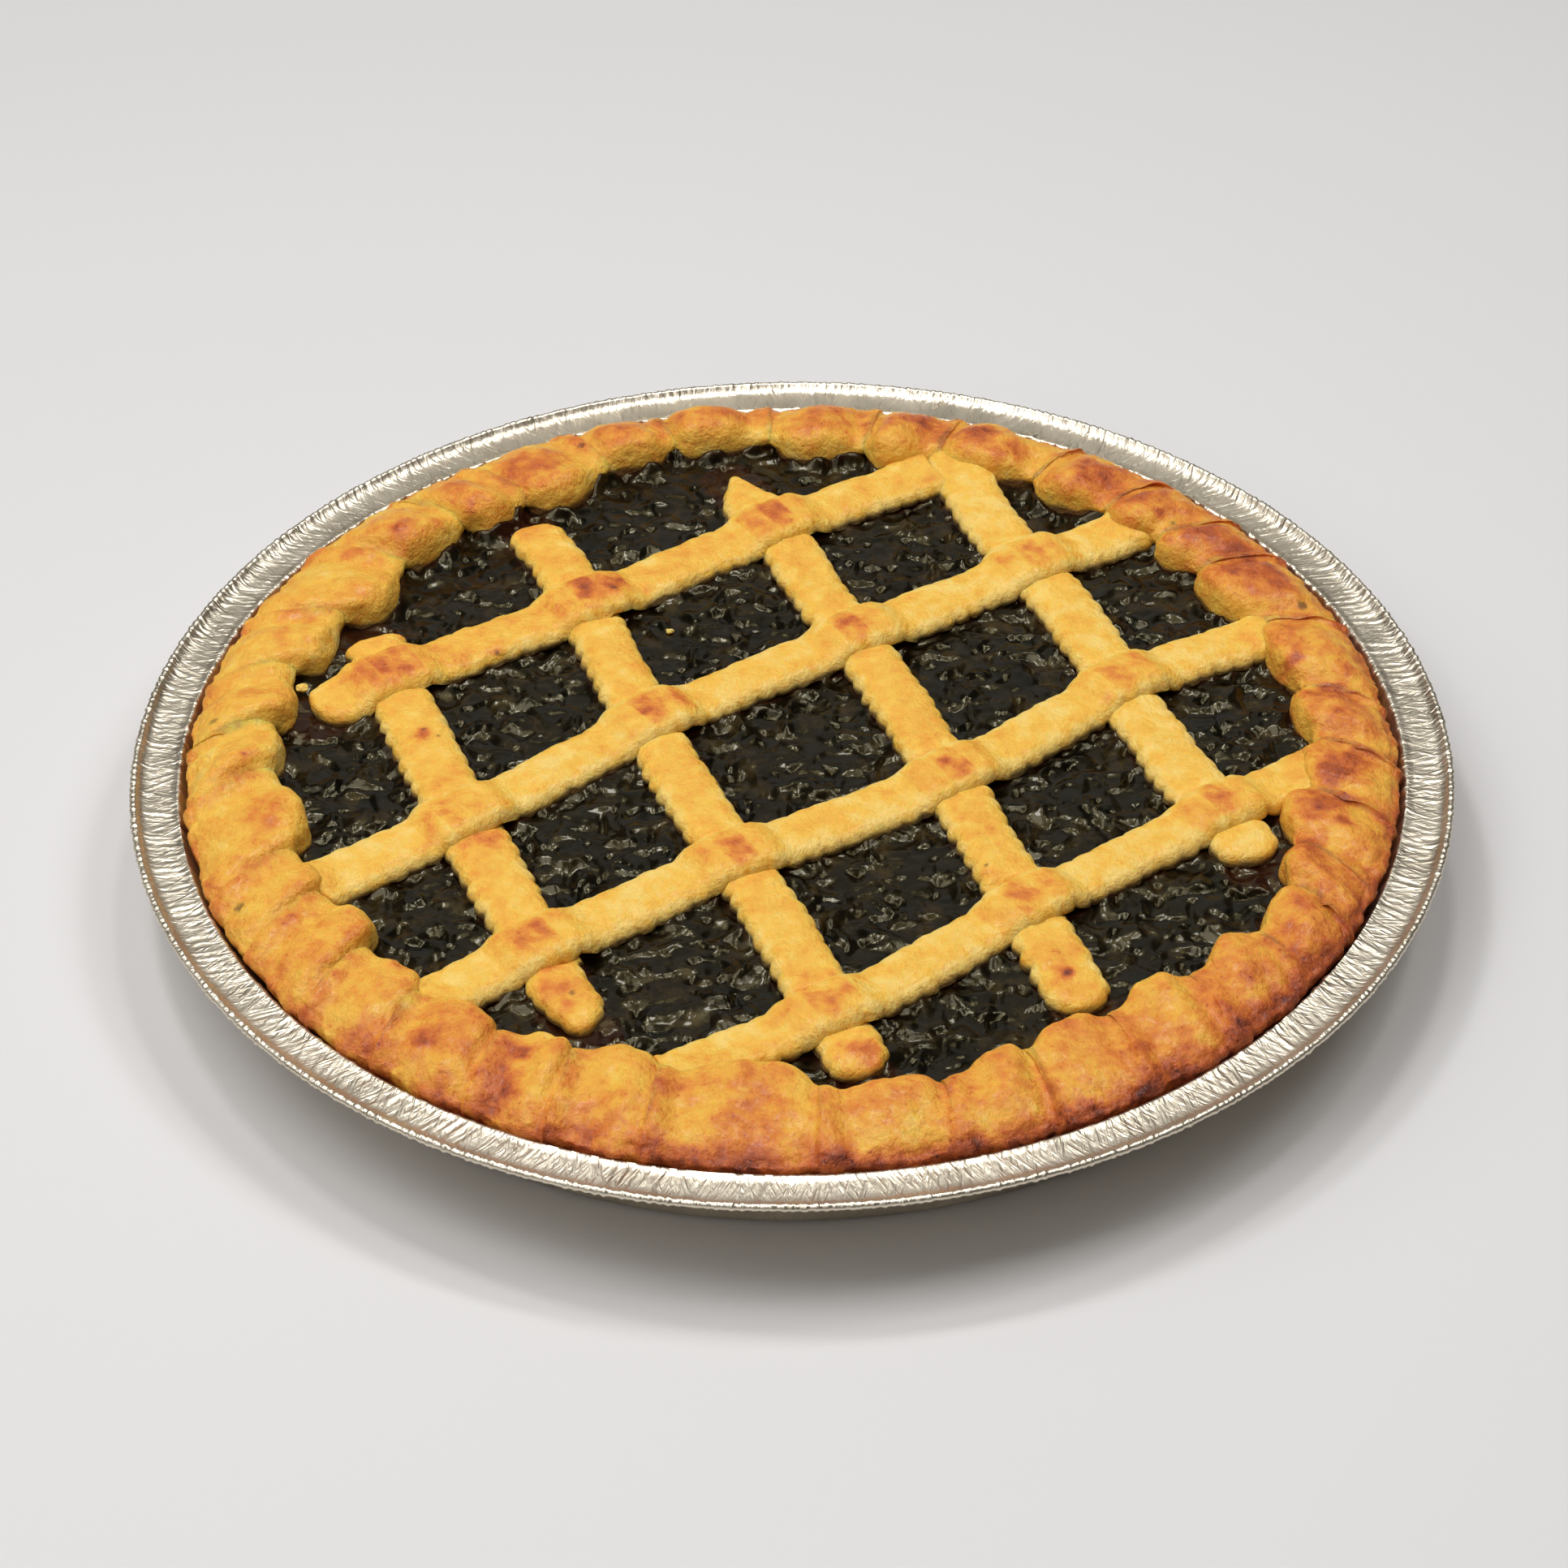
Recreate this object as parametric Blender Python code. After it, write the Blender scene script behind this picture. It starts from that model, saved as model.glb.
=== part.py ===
"""A lattice pie baked and kept in its round foil pan.

Metres, +Z up. The origin is the middle of the pan's underside, on the surface
that the pan stands on. -Y is the front of the pie and +X its right.

The pan holds a shortcrust shell, a thin cup whose edge is folded over in pillow
shaped lobes. Dark jam fills the shell. Four long strips of dough lie over four
cross strips, and their fluted edges come from a crimping wheel.
"""

import math
import random

import bmesh
import bpy

MM = 0.001

# Foil pan
PAN_RADIUS = 140.0 * MM
PAN_HEIGHT = 25.0 * MM
PAN_MOUTH_RADIUS = 129.6 * MM
PAN_FLOOR_RADIUS = 118.0 * MM
FOIL_THICKNESS = 0.6 * MM
BEAD_RADIUS = 1.4 * MM
BEAD_TURNS = 5
PAN_SIDES = 70
RIM_PLANE = PAN_HEIGHT - BEAD_RADIUS
FLANGE_TOP = RIM_PLANE - 0.9 * MM
FLANGE_UNDERSIDE = FLANGE_TOP - FOIL_THICKNESS
WALL_TOP = FLANGE_TOP - 0.8 * MM
WALL_TOP_INSET = 0.4 * MM
FLOOR_ROUNDING = 0.9 * MM
LIP_RISE = 0.2 * MM
FLANGE_START = PAN_MOUTH_RADIUS + 1.2 * MM
FLANGE_END = PAN_RADIUS - BEAD_RADIUS - 1.3 * MM
BEAD_FIRST_TURN = 144

# Space left between pieces that touch on the real pie
GAP = 0.3 * MM

# Shortcrust shell
SHELL_UNDERSIDE = FOIL_THICKNESS + GAP
SHELL_FLOOR = 9.5 * MM
SHELL_EDGE_RADIUS = 126.4 * MM
HEEL_RADIUS = PAN_FLOOR_RADIUS + 0.1 * MM
HEEL_HEIGHT = 1.9 * MM
SOLE_RADIUS = PAN_FLOOR_RADIUS - 1.5 * MM
JAM_LEVEL = RIM_PLANE - 2.2 * MM
INNER_WALL_TOP = JAM_LEVEL - 3.0 * MM
OUTER_WALL_TOP = RIM_PLANE - 3.0 * MM

# The folded rim, anticlockwise from the right: where each lobe starts, in
# degrees, and how far from the middle its inner tip lies
LOBES = (
    (-4, 107.5), (6, 107.5), (19, 104.5), (31, 105.5), (38.5, 106), (47, 106.5), (58, 108.5),
    (71, 105.5), (80, 106.8), (91.5, 111), (104, 110), (113, 102.8), (125, 103.8), (134, 106),
    (144.5, 101.5), (157, 105.5), (168, 107), (178.5, 107.5), (187, 103.5), (201, 105.5),
    (209, 102.7), (219, 105), (228.5, 105), (239, 103.5), (247, 101), (256, 101), (272, 107.5),
    (284, 105.5), (293.5, 103.3), (303, 104), (313, 107.5), (323, 110.5), (332, 108),
    (338, 104.3), (348, 107),
)
LOBE_STEPS = (0.0, 0.12, 0.32, 0.5, 0.68, 0.88)
NOTCH_DEPTH = 5.0 * MM
LOBE_RISE = 6.4 * MM
LOBE_RISE_AT_BACK = 1.4 * MM
LOBE_RISE_SPREAD = 0.7 * MM
NOTCH_RISE = 2.7 * MM
LOBE_BULGE = 1.2 * MM
LEAN_TO_FRONT = 0.5 * MM
FOLD_SLANT = 2.2
FULLNESS_POWER = 3.2
TIP_POWER = 0.8
RIM_FOOT = JAM_LEVEL + 0.9 * MM

# The lobe's section from its foot outwards: how far from the inner edge each
# mark lies, its share of the lobe's rise, and its slant
INNER_MARKS = ((0.0, 0.0, 1.0), (0.7 * MM, 0.55, 1.0), (2.7 * MM, 0.9, 0.7), (7.4 * MM, 1.0, 0.2))

# The same for its outer half: the back, and the edge over the pan's wall
BACK_PLACE = 0.7
BACK_RISE = 0.82
BACK_SLANT = -0.4
EDGE_INSET = 0.8 * MM
EDGE_RISE = 0.36
EDGE_SLANT = -0.9

# Jam
JAM_RELIEF = 0.3 * MM
JAM_RINGS = (0.8, 0.6, 0.4, 0.2)
JAM_INSET = GAP + 0.1 * MM

# Strips of dough
STRIP_HEIGHT = 3.8 * MM
STRIP_CROWN = 1.1 * MM
PRESSED_HEIGHT = 2.5 * MM
PRESSED_CROWN = 0.2
RAISED_SINK = 0.4 * MM
UNDERSIDE_WIDTH = 0.95
FLUTE_PITCH = 4.85 * MM
FLUTE_DEPTH = 0.6 * MM
STRIP_UNDERSIDE = JAM_LEVEL + JAM_RELIEF + 0.35 * MM
CROSSING_HALF = 8.8 * MM
CROSSING_RAMP = 6.0 * MM
NARROWEST_END = 0.32
ROUTE_STEPS = 24
POCKET_STEPS = 8
PARALLEL = 1e-15

# Long strips, back to front: the width of each, how long its left and right
# ends are rounded, and the points that it passes over
LONG_STRIPS = (
    (14.0, 5.0, 1.0, ((-102, 12.5), (-88, 23.5), (-45, 50.5), (-2.5, 80), (30, 99))),
    (13.8, 2.0, 1.0, ((-96, -44.5), (-67, -23), (-30, 8), (13, 36.5), (54.5, 63.5), (80, 79))),
    (13.6, 2.0, 1.0, ((-73, -82), (-55, -68), (-12, -38.5), (33.5, -12), (75, 21.5), (111, 40))),
    (12.8, 1.0, 1.0, ((-25.5, -104), (9.4, -83.7), (46, -55.2), (94, -21.2), (114, -8))),
)

# Cross strips, left to right, each from its back end to its front end
CROSS_STRIPS = (
    (13.9, 2.5, 5.0, ((-91.5, 38.5), (-86.3, 23.5), (-77.5, -0.8), (-60.5, -42.8), (-41, -90))),
    (13.2, 4.5, 6.0, ((-59.5, 80.5), (-49.7, 61.8), (-37.2, 25.8), (-22.2, -14.2), (-3.7, -56.2),
                      (13.5, -103.5))),
    (13.3, 13.0, 6.0, ((-13, 100), (-3, 80), (5.5, 57.5), (23.5, 14.5), (39.5, -31), (57.5, -85.3))),
    (14.0, 1.0, 6.0, ((38.5, 108), (44, 87.7), (53, 65.7), (63.5, 43.2), (79, -2.3), (95.5, -40))),
)

# Ends of strips that are tucked under the folded rim: the strip, which end,
# and how much of its length the rim may cover
TUCKED_ENDS = (
    ("long_strip_1", "right", 20.0 * MM),
    ("long_strip_2", "left", 14.0 * MM),
    ("long_strip_2", "right", 20.0 * MM),
    ("long_strip_3", "left", 20.0 * MM),
    ("long_strip_3", "right", 26.0 * MM),
    ("long_strip_4", "left", 46.0 * MM),
    ("long_strip_4", "right", 24.0 * MM),
    ("cross_strip_4", "left", 26.0 * MM),
)


def material(name, color, roughness, metallic=0.0):
    """A Principled material of one colour."""
    made = bpy.data.materials.new(name)
    made.use_nodes = True
    shader = made.node_tree.nodes["Principled BSDF"]
    shader.inputs["Base Color"].default_value = (*color, 1.0)
    shader.inputs["Roughness"].default_value = roughness
    shader.inputs["Metallic"].default_value = metallic
    made.diffuse_color = (*color, 1.0)
    return made


def finish(name, bm, surface):
    """Turn a closed bmesh into a named object with its material."""
    bmesh.ops.remove_doubles(bm, verts=bm.verts, dist=0.001 * MM)
    bmesh.ops.recalc_face_normals(bm, faces=bm.faces)
    bmesh.ops.triangulate(bm, faces=bm.faces)
    mesh = bpy.data.meshes.new(name)
    bm.to_mesh(mesh)
    bm.free()
    mesh.shade_smooth()
    mesh.set_sharp_from_angle(angle=math.radians(50))
    if surface:
        mesh.materials.append(surface)
    made = bpy.data.objects.new(name, mesh)
    bpy.context.collection.objects.link(made)
    return made


def ring(bm, points):
    """A closed loop of new vertices through the points."""
    return [bm.verts.new(point) for point in points]


def skin(bm, lower, upper):
    """Join two loops; one may have a whole number of points for each of the other's."""
    if len(lower) > len(upper):
        lower, upper = upper, lower
    ratio = len(upper) // len(lower)
    middle = ratio // 2
    for i, here in enumerate(lower):
        after = lower[(i + 1) % len(lower)]
        fan = [upper[(i * ratio + k) % len(upper)] for k in range(ratio + 1)]
        for k in range(ratio):
            bm.faces.new((here if k <= middle else after, fan[k], fan[k + 1]))
        bm.faces.new((here, fan[middle + 1], after))


def cap(bm, loop, centre):
    """Close a loop with a fan of faces round its centre."""
    hub = bm.verts.new(centre)
    for i, here in enumerate(loop):
        bm.faces.new((here, loop[(i + 1) % len(loop)], hub))


def make_foil_pan(surface):
    """The pan: a thin turned wall with a flat flange and a rolled bead."""
    profile = [
        (0.0, FOIL_THICKNESS),
        (PAN_FLOOR_RADIUS - FLOOR_ROUNDING, FOIL_THICKNESS),
        (PAN_FLOOR_RADIUS + FLOOR_ROUNDING, FOIL_THICKNESS + FLOOR_ROUNDING),
        (PAN_MOUTH_RADIUS - WALL_TOP_INSET, WALL_TOP),
        (PAN_MOUTH_RADIUS + LIP_RISE, FLANGE_TOP + LIP_RISE),
        (FLANGE_START, FLANGE_TOP),
        (FLANGE_END, FLANGE_TOP),
    ]
    for turn in range(BEAD_TURNS):
        angle = math.radians(BEAD_FIRST_TURN - 360 / BEAD_TURNS * turn)
        profile.append((PAN_RADIUS - BEAD_RADIUS + BEAD_RADIUS * math.cos(angle),
                        RIM_PLANE + BEAD_RADIUS * math.sin(angle)))
    profile += [
        (FLANGE_END, FLANGE_UNDERSIDE),
        (FLANGE_START, FLANGE_UNDERSIDE),
        (PAN_MOUTH_RADIUS - WALL_TOP_INSET + FOIL_THICKNESS, WALL_TOP - WALL_TOP_INSET),
        (PAN_FLOOR_RADIUS + FLOOR_ROUNDING + FOIL_THICKNESS, FLOOR_ROUNDING),
        (PAN_FLOOR_RADIUS, 0.0),
        (0.0, 0.0),
    ]
    bm = bmesh.new()
    line = [bm.verts.new((radius, 0.0, height)) for radius, height in profile]
    edges = [bm.edges.new(pair) for pair in zip(line, line[1:])]
    bmesh.ops.spin(bm, geom=line + edges, cent=(0, 0, 0), axis=(0, 0, 1),
                   angle=math.tau, steps=PAN_SIDES, use_merge=True)
    return finish("foil_pan", bm, surface)


def rim_columns():
    """Angle, inner radius, fullness and rise of each column of the folded rim."""
    draw = random.Random(7)
    count = len(LOBES)
    notches = []
    for i in range(count):
        meeting_tips = (LOBES[i - 1][1] + LOBES[i][1]) / 2
        notches.append(meeting_tips * MM + NOTCH_DEPTH)
    columns = []
    for i, (start, tip) in enumerate(LOBES):
        end = LOBES[(i + 1) % count][0] + (360 if i == count - 1 else 0)
        middle = math.radians((start + end) / 2)
        spread = draw.uniform(-LOBE_RISE_SPREAD, LOBE_RISE_SPREAD)
        lobe_rise = LOBE_RISE + LOBE_RISE_AT_BACK * math.sin(middle) + spread
        for step in LOBE_STEPS:
            fullness = 1.0 - abs(2 * step - 1) ** FULLNESS_POWER
            notch = notches[i] + (notches[(i + 1) % count] - notches[i]) * step
            inner = notch - (notch - tip * MM) * fullness ** TIP_POWER
            rise = NOTCH_RISE + (lobe_rise - NOTCH_RISE) * fullness
            columns.append((start + (end - start) * step, inner, fullness, rise))
    return columns


def polar(angle, radius, height):
    """A point from its angle in degrees, its radius and its height."""
    turn = math.radians(angle)
    return (radius * math.cos(turn), radius * math.sin(turn), height)


def slanted(angle, share):
    """A fold's angle, turned by its slant: share runs from 1 inside to -1 outside."""
    return angle + share * FOLD_SLANT * math.cos(math.radians(angle))


def rim_section(angle, inner, fullness, rise):
    """One column of the rim, from the shell's wall over the lobe and down its outer side."""
    lean = -LEAN_TO_FRONT * math.sin(math.radians(angle))
    outer = SHELL_EDGE_RADIUS + LOBE_BULGE * fullness + lean
    lift = RIM_PLANE + rise - RIM_FOOT
    marks = [(1.0, inner, INNER_WALL_TOP)]
    marks += [(slant, inner + out, RIM_FOOT + share * lift) for out, share, slant in INNER_MARKS]
    back = inner + BACK_PLACE * (outer - inner)
    marks.append((BACK_SLANT, back, RIM_FOOT + BACK_RISE * lift))
    marks.append((EDGE_SLANT, outer - EDGE_INSET, RIM_FOOT + EDGE_RISE * lift))
    marks.append((-1.0, outer, OUTER_WALL_TOP))
    return [polar(slanted(angle, slant), radius, height) for slant, radius, height in marks]


def make_pastry_crust(surface):
    """The shell: floor, wall and the rim of folded lobes, as one cup."""
    columns = rim_columns()
    coarse = columns[::3]
    bm = bmesh.new()
    previous = ring(bm, [polar(slanted(angle, 1.0), inner, SHELL_FLOOR)
                         for angle, inner, fullness, rise in coarse])
    cap(bm, previous, (0, 0, SHELL_FLOOR))
    for points in zip(*(rim_section(*column) for column in columns)):
        current = ring(bm, points)
        skin(bm, previous, current)
        previous = current
    for radius, height in ((HEEL_RADIUS, HEEL_HEIGHT), (SOLE_RADIUS, SHELL_UNDERSIDE)):
        current = ring(bm, [polar(slanted(column[0], -1.0), radius, height) for column in coarse])
        skin(bm, previous, current)
        previous = current
    cap(bm, previous, (0, 0, SHELL_UNDERSIDE))
    return finish("pastry_crust", bm, surface)


def make_jam(surface):
    """The jam: it fills the shell to its level, with a low uneven surface."""
    draw = random.Random(11)
    columns = rim_columns()
    coarse = columns[::3]
    bm = bmesh.new()
    previous = ring(bm, [polar(slanted(angle, 1.0), inner - JAM_INSET, SHELL_FLOOR + GAP)
                         for angle, inner, fullness, rise in coarse])
    cap(bm, previous, (0, 0, SHELL_FLOOR + GAP))
    for height in (INNER_WALL_TOP, JAM_LEVEL):
        current = ring(bm, [polar(slanted(angle, 1.0), inner - JAM_INSET, height)
                            for angle, inner, fullness, rise in columns])
        skin(bm, previous, current)
        previous = current
    for share in JAM_RINGS:
        points = []
        for angle, inner, fullness, rise in coarse:
            height = JAM_LEVEL + draw.uniform(-JAM_RELIEF, JAM_RELIEF)
            points.append(polar(slanted(angle, share), inner * share, height))
        current = ring(bm, points)
        skin(bm, previous, current)
        previous = current
    cap(bm, previous, (0, 0, JAM_LEVEL))
    return finish("jam_filling", bm, surface)


def smooth_route(points):
    """A fine line through the points, as a Catmull-Rom curve."""
    knots = [(x * MM, y * MM) for x, y in points]
    first = tuple(2 * a - b for a, b in zip(knots[0], knots[1]))
    last = tuple(2 * a - b for a, b in zip(knots[-1], knots[-2]))
    knots = [first, *knots, last]
    line = []
    for i in range(1, len(knots) - 2):
        p0, p1, p2, p3 = knots[i - 1:i + 3]
        for k in range(ROUTE_STEPS):
            t = k / ROUTE_STEPS
            line.append(tuple(
                0.5 * (2 * b + (c - a) * t + (2 * a - 5 * b + 4 * c - d) * t * t
                       + (3 * b - a - 3 * c + d) * t ** 3)
                for a, b, c, d in zip(p0, p1, p2, p3)))
    line.append(knots[-2])
    return line


class Strip:
    """One strip of dough: its route over the jam, its ends and its crossings."""

    def __init__(self, name, spec):
        width, left_round, right_round, points = spec
        self.name = name
        self.width = width * MM
        self.left_round = left_round * MM
        self.right_round = right_round * MM
        self.route = smooth_route(points)
        self.reached = [0.0]
        for here, after in zip(self.route, self.route[1:]):
            self.reached.append(self.reached[-1] + math.dist(here, after))
        self.length = self.reached[-1]
        self.crossings = []

    def at(self, distance):
        """The point and the direction of the route at a distance along it."""
        distance = min(max(distance, 0.0), self.length)
        i = max(k for k, passed in enumerate(self.reached[:-1]) if passed <= distance)
        here, after = self.route[i], self.route[i + 1]
        step = self.reached[i + 1] - self.reached[i]
        share = (distance - self.reached[i]) / step
        point = tuple(a + (b - a) * share for a, b in zip(here, after))
        return point, ((after[0] - here[0]) / step, (after[1] - here[1]) / step)

    def pressed(self, distance):
        """How close a place is to a crossing: 1 on it, 0 away from it."""
        nearest = min((abs(distance - place) for place in self.crossings), default=1.0)
        share = 1.0 - (nearest - CROSSING_HALF) / CROSSING_RAMP
        share = min(max(share, 0.0), 1.0)
        return share * share * (3 - 2 * share)

    def end_taper(self, distance):
        """The width left near a rounded end, as a share of the full width."""
        taper = 1.0
        for reach, length in ((distance, self.left_round),
                              (self.length - distance, self.right_round)):
            if reach < length:
                inward = min(1.0 - reach / length, 1.0)
                taper = min(taper, max(math.sqrt(1.0 - inward * inward), NARROWEST_END))
        return taper


def find_crossings(long_strips, cross_strips):
    """Note on every strip where its route meets a strip of the other set."""
    for over in long_strips:
        for under in cross_strips:
            for i, (a, b) in enumerate(zip(over.route, over.route[1:])):
                for k, (c, d) in enumerate(zip(under.route, under.route[1:])):
                    ab = (b[0] - a[0], b[1] - a[1])
                    cd = (d[0] - c[0], d[1] - c[1])
                    ac = (c[0] - a[0], c[1] - a[1])
                    cross = ab[0] * cd[1] - ab[1] * cd[0]
                    if abs(cross) < PARALLEL:
                        continue
                    t = (ac[0] * cd[1] - ac[1] * cd[0]) / cross
                    u = (ac[0] * ab[1] - ac[1] * ab[0]) / cross
                    if 0 <= t < 1 and 0 <= u < 1:
                        over.crossings.append(over.reached[i] + t * math.hypot(*ab))
                        under.crossings.append(under.reached[k] + u * math.hypot(*cd))


def strip_section(strip, distance, half_width, lies_over):
    """The five corners of a strip's section: underside, two shoulders, crown."""
    point, (along_x, along_y) = strip.at(distance)
    pressed = strip.pressed(distance)
    low = STRIP_UNDERSIDE
    height = STRIP_HEIGHT - pressed * (STRIP_HEIGHT - PRESSED_HEIGHT)
    if lies_over:
        low += pressed * (PRESSED_HEIGHT + GAP)
        height = STRIP_HEIGHT - pressed * RAISED_SINK
    crown = STRIP_CROWN * (1.0 if lies_over else 1.0 - (1.0 - PRESSED_CROWN) * pressed)
    corners = ((-UNDERSIDE_WIDTH, 0.0), (UNDERSIDE_WIDTH, 0.0), (1.0, height - crown),
               (0.0, height), (-1.0, height - crown))
    return [(point[0] - along_y * side * half_width,
             point[1] + along_x * side * half_width,
             low + up) for side, up in corners]


def make_strip(strip, lies_over, surface):
    """A strip with fluted edges: its sections widen and narrow in turn."""
    stations = max(int(strip.length / (FLUTE_PITCH / 2)), 2)
    bm = bmesh.new()
    previous = None
    for i in range(stations + 1):
        distance = strip.length * i / stations
        flute = FLUTE_DEPTH / 2 * (1 if i % 2 else -1)
        half_width = (strip.width / 2 + flute) * strip.end_taper(distance)
        current = ring(bm, strip_section(strip, distance, half_width, lies_over))
        if previous is None:
            bm.faces.new(current)
        else:
            skin(bm, previous, current)
        previous = current
    bm.faces.new(previous)
    return finish(strip.name, bm, surface)


def make_pocket(strip, end, length):
    """The room that a tucked end needs in the rim: its own form, a gap larger."""
    room = GAP + FLUTE_DEPTH / 2
    start = 0.0 if end == "left" else strip.length - length
    bm = bmesh.new()
    previous = None
    for i in range(POCKET_STEPS + 1):
        distance = start + length * i / POCKET_STEPS
        corners = strip_section(strip, distance, strip.width / 2 + room, lies_over=True)
        past_end = 0.0
        if end == "left" and i == 0:
            past_end = -GAP
        if end == "right" and i == POCKET_STEPS:
            past_end = GAP
        along = strip.at(distance)[1]
        grown = []
        for number, (x, y, z) in enumerate(corners):
            up = -GAP if number < 2 else GAP
            grown.append((x + along[0] * past_end, y + along[1] * past_end, z + up))
        current = ring(bm, grown)
        if previous is None:
            bm.faces.new(current)
        else:
            skin(bm, previous, current)
        previous = current
    bm.faces.new(previous)
    made = finish(f"pocket_{strip.name}_{end}", bm, None)
    made.hide_render = True
    made.display_type = "WIRE"
    return made


def build():
    for old in list(bpy.data.objects):
        bpy.data.objects.remove(old, do_unlink=True)

    foil = material("foil", (0.78, 0.74, 0.66), 0.28, metallic=1.0)
    crust = material("crust", (0.78, 0.42, 0.12), 0.55)
    strip_dough = material("strip_dough", (0.86, 0.55, 0.19), 0.55)
    jam = material("jam", (0.02, 0.015, 0.01), 0.12)

    make_foil_pan(foil)
    rim = make_pastry_crust(crust)
    make_jam(jam)

    long_strips = [Strip(f"long_strip_{i}", spec) for i, spec in enumerate(LONG_STRIPS, 1)]
    cross_strips = [Strip(f"cross_strip_{i}", spec) for i, spec in enumerate(CROSS_STRIPS, 1)]
    find_crossings(long_strips, cross_strips)
    for strip in long_strips:
        make_strip(strip, True, strip_dough)
    for strip in cross_strips:
        make_strip(strip, False, strip_dough)

    by_name = {strip.name: strip for strip in long_strips + cross_strips}
    for name, end, length in TUCKED_ENDS:
        pocket = make_pocket(by_name[name], end, length)
        cut = rim.modifiers.new(pocket.name, "BOOLEAN")
        cut.operation = "DIFFERENCE"
        cut.solver = "EXACT"
        cut.object = pocket


build()
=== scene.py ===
import itertools
import math
import random

import bpy
import numpy as np
from mathutils import Matrix, Vector


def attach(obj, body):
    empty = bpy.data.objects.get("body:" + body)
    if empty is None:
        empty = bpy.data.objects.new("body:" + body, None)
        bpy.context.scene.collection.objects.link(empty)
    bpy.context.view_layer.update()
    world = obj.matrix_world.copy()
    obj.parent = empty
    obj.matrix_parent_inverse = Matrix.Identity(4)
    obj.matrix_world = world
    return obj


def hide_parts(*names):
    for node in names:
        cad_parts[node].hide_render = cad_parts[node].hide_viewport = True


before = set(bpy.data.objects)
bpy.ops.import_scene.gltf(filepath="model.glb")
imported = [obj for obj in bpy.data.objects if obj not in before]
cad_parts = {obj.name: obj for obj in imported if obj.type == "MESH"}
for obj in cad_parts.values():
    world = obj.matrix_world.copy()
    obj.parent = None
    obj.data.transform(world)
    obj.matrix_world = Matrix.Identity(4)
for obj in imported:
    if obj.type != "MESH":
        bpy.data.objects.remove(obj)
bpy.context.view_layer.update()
print("packed nodes:", sorted(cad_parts))

# %% [markdown]
# Food is never even. So each piece starts as a mesh made with operators, and its
# points are then moved by soft random fields, as a sculptor would press it. These
# helpers read the points, move them, and store values on them for the materials.
#
# %% Small tools
MM = 0.001
RING_MERGE = 0.00001
STRIP_MERGE = 0.000002


def deselect_all():
    """Leave edit mode and select nothing."""
    if bpy.context.object and bpy.context.object.mode != "OBJECT":
        bpy.ops.object.mode_set(mode="OBJECT")
    bpy.ops.object.select_all(action="DESELECT")


def points_of(piece):
    """A piece's points in millimetres, one row each."""
    flat = np.empty(len(piece.data.vertices) * 3)
    piece.data.vertices.foreach_get("co", flat)
    return flat.reshape(-1, 3) / MM


def set_points(piece, points):
    """Put a piece's points where the rows say, in millimetres."""
    piece.data.vertices.foreach_set("co", (points * MM).ravel())
    piece.data.update()


def normals_of(piece):
    """The direction that the surface faces at each point."""
    flat = np.empty(len(piece.data.vertices) * 3, np.float32)
    piece.data.vertices.foreach_get("normal", flat)
    return flat.reshape(-1, 3).astype(float)


def paint(piece, name, values):
    """Store one value per point under a name that the material reads."""
    layer = piece.data.attributes.get(name) or piece.data.attributes.new(name, "FLOAT", "POINT")
    layer.data.foreach_set("value", np.asarray(values, np.float32))


def values_of(piece, name):
    """The values stored per point under a name."""
    found = np.empty(len(piece.data.vertices), np.float32)
    piece.data.attributes[name].data.foreach_get("value", found)
    return found.astype(float)


def grain(points, size, seed):
    """Soft random values, about -1 to 1, with bumps as wide as size."""
    source = np.random.default_rng(seed)
    slopes = source.normal(size=(4096, 3))
    slopes /= np.linalg.norm(slopes, axis=1, keepdims=True)
    place = points / size + source.uniform(0, 50, 3)
    cell = np.floor(place).astype(np.int64)
    local = place - cell
    fade = local ** 3 * (local * (local * 6 - 15) + 10)
    total = np.zeros(len(points))
    for corner in itertools.product((0, 1), repeat=3):
        spot = cell + corner
        pick = (spot[:, 0] * 73856093 ^ spot[:, 1] * 19349663 ^ spot[:, 2] * 83492791) % 4096
        share = np.prod(np.where(corner, fade, 1 - fade), axis=1)
        total += share * np.sum(slopes[pick] * (local - corner), axis=1)
    return total * 1.7


def curve_between(a, b, c, d, share):
    """A point between b and c, on a smooth curve that also passes a and d."""
    return 0.5 * (2 * b + (c - a) * share + (2 * a - 5 * b + 4 * c - d) * share ** 2
                  + (3 * b - a - 3 * c + d) * share ** 3)


def ease(values, low, high):
    """0 below low, 1 above high, and a smooth step between them."""
    share = np.clip((values - low) / (high - low), 0, 1)
    return share * share * (3 - 2 * share)


def lump(distance, reach):
    """1 at no distance, falling softly to nothing at about twice the reach."""
    return np.exp(-(distance / reach) ** 2)


# %% [markdown]
# With thousands of columns the spin tool is slow, so a round piece starts as a
# flat grid. Each of its rows is laid on one point of the section, the grid is
# rolled round the middle of the pie, and its seam is merged. Each point keeps
# the number of its row, which tells its place in the section afterwards.
#
# %% Roll a grid into a ring
def seal(merge):
    """Merge the active piece's seam, fill its ends and turn its faces outwards."""
    bpy.ops.object.mode_set(mode="EDIT")
    bpy.ops.mesh.select_all(action="SELECT")
    bpy.ops.mesh.remove_doubles(threshold=merge)
    bpy.ops.mesh.select_all(action="SELECT")
    bpy.ops.mesh.fill_holes(sides=0)
    bpy.ops.mesh.select_all(action="SELECT")
    bpy.ops.mesh.normals_make_consistent(inside=False)
    bpy.ops.object.mode_set(mode="OBJECT")


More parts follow.
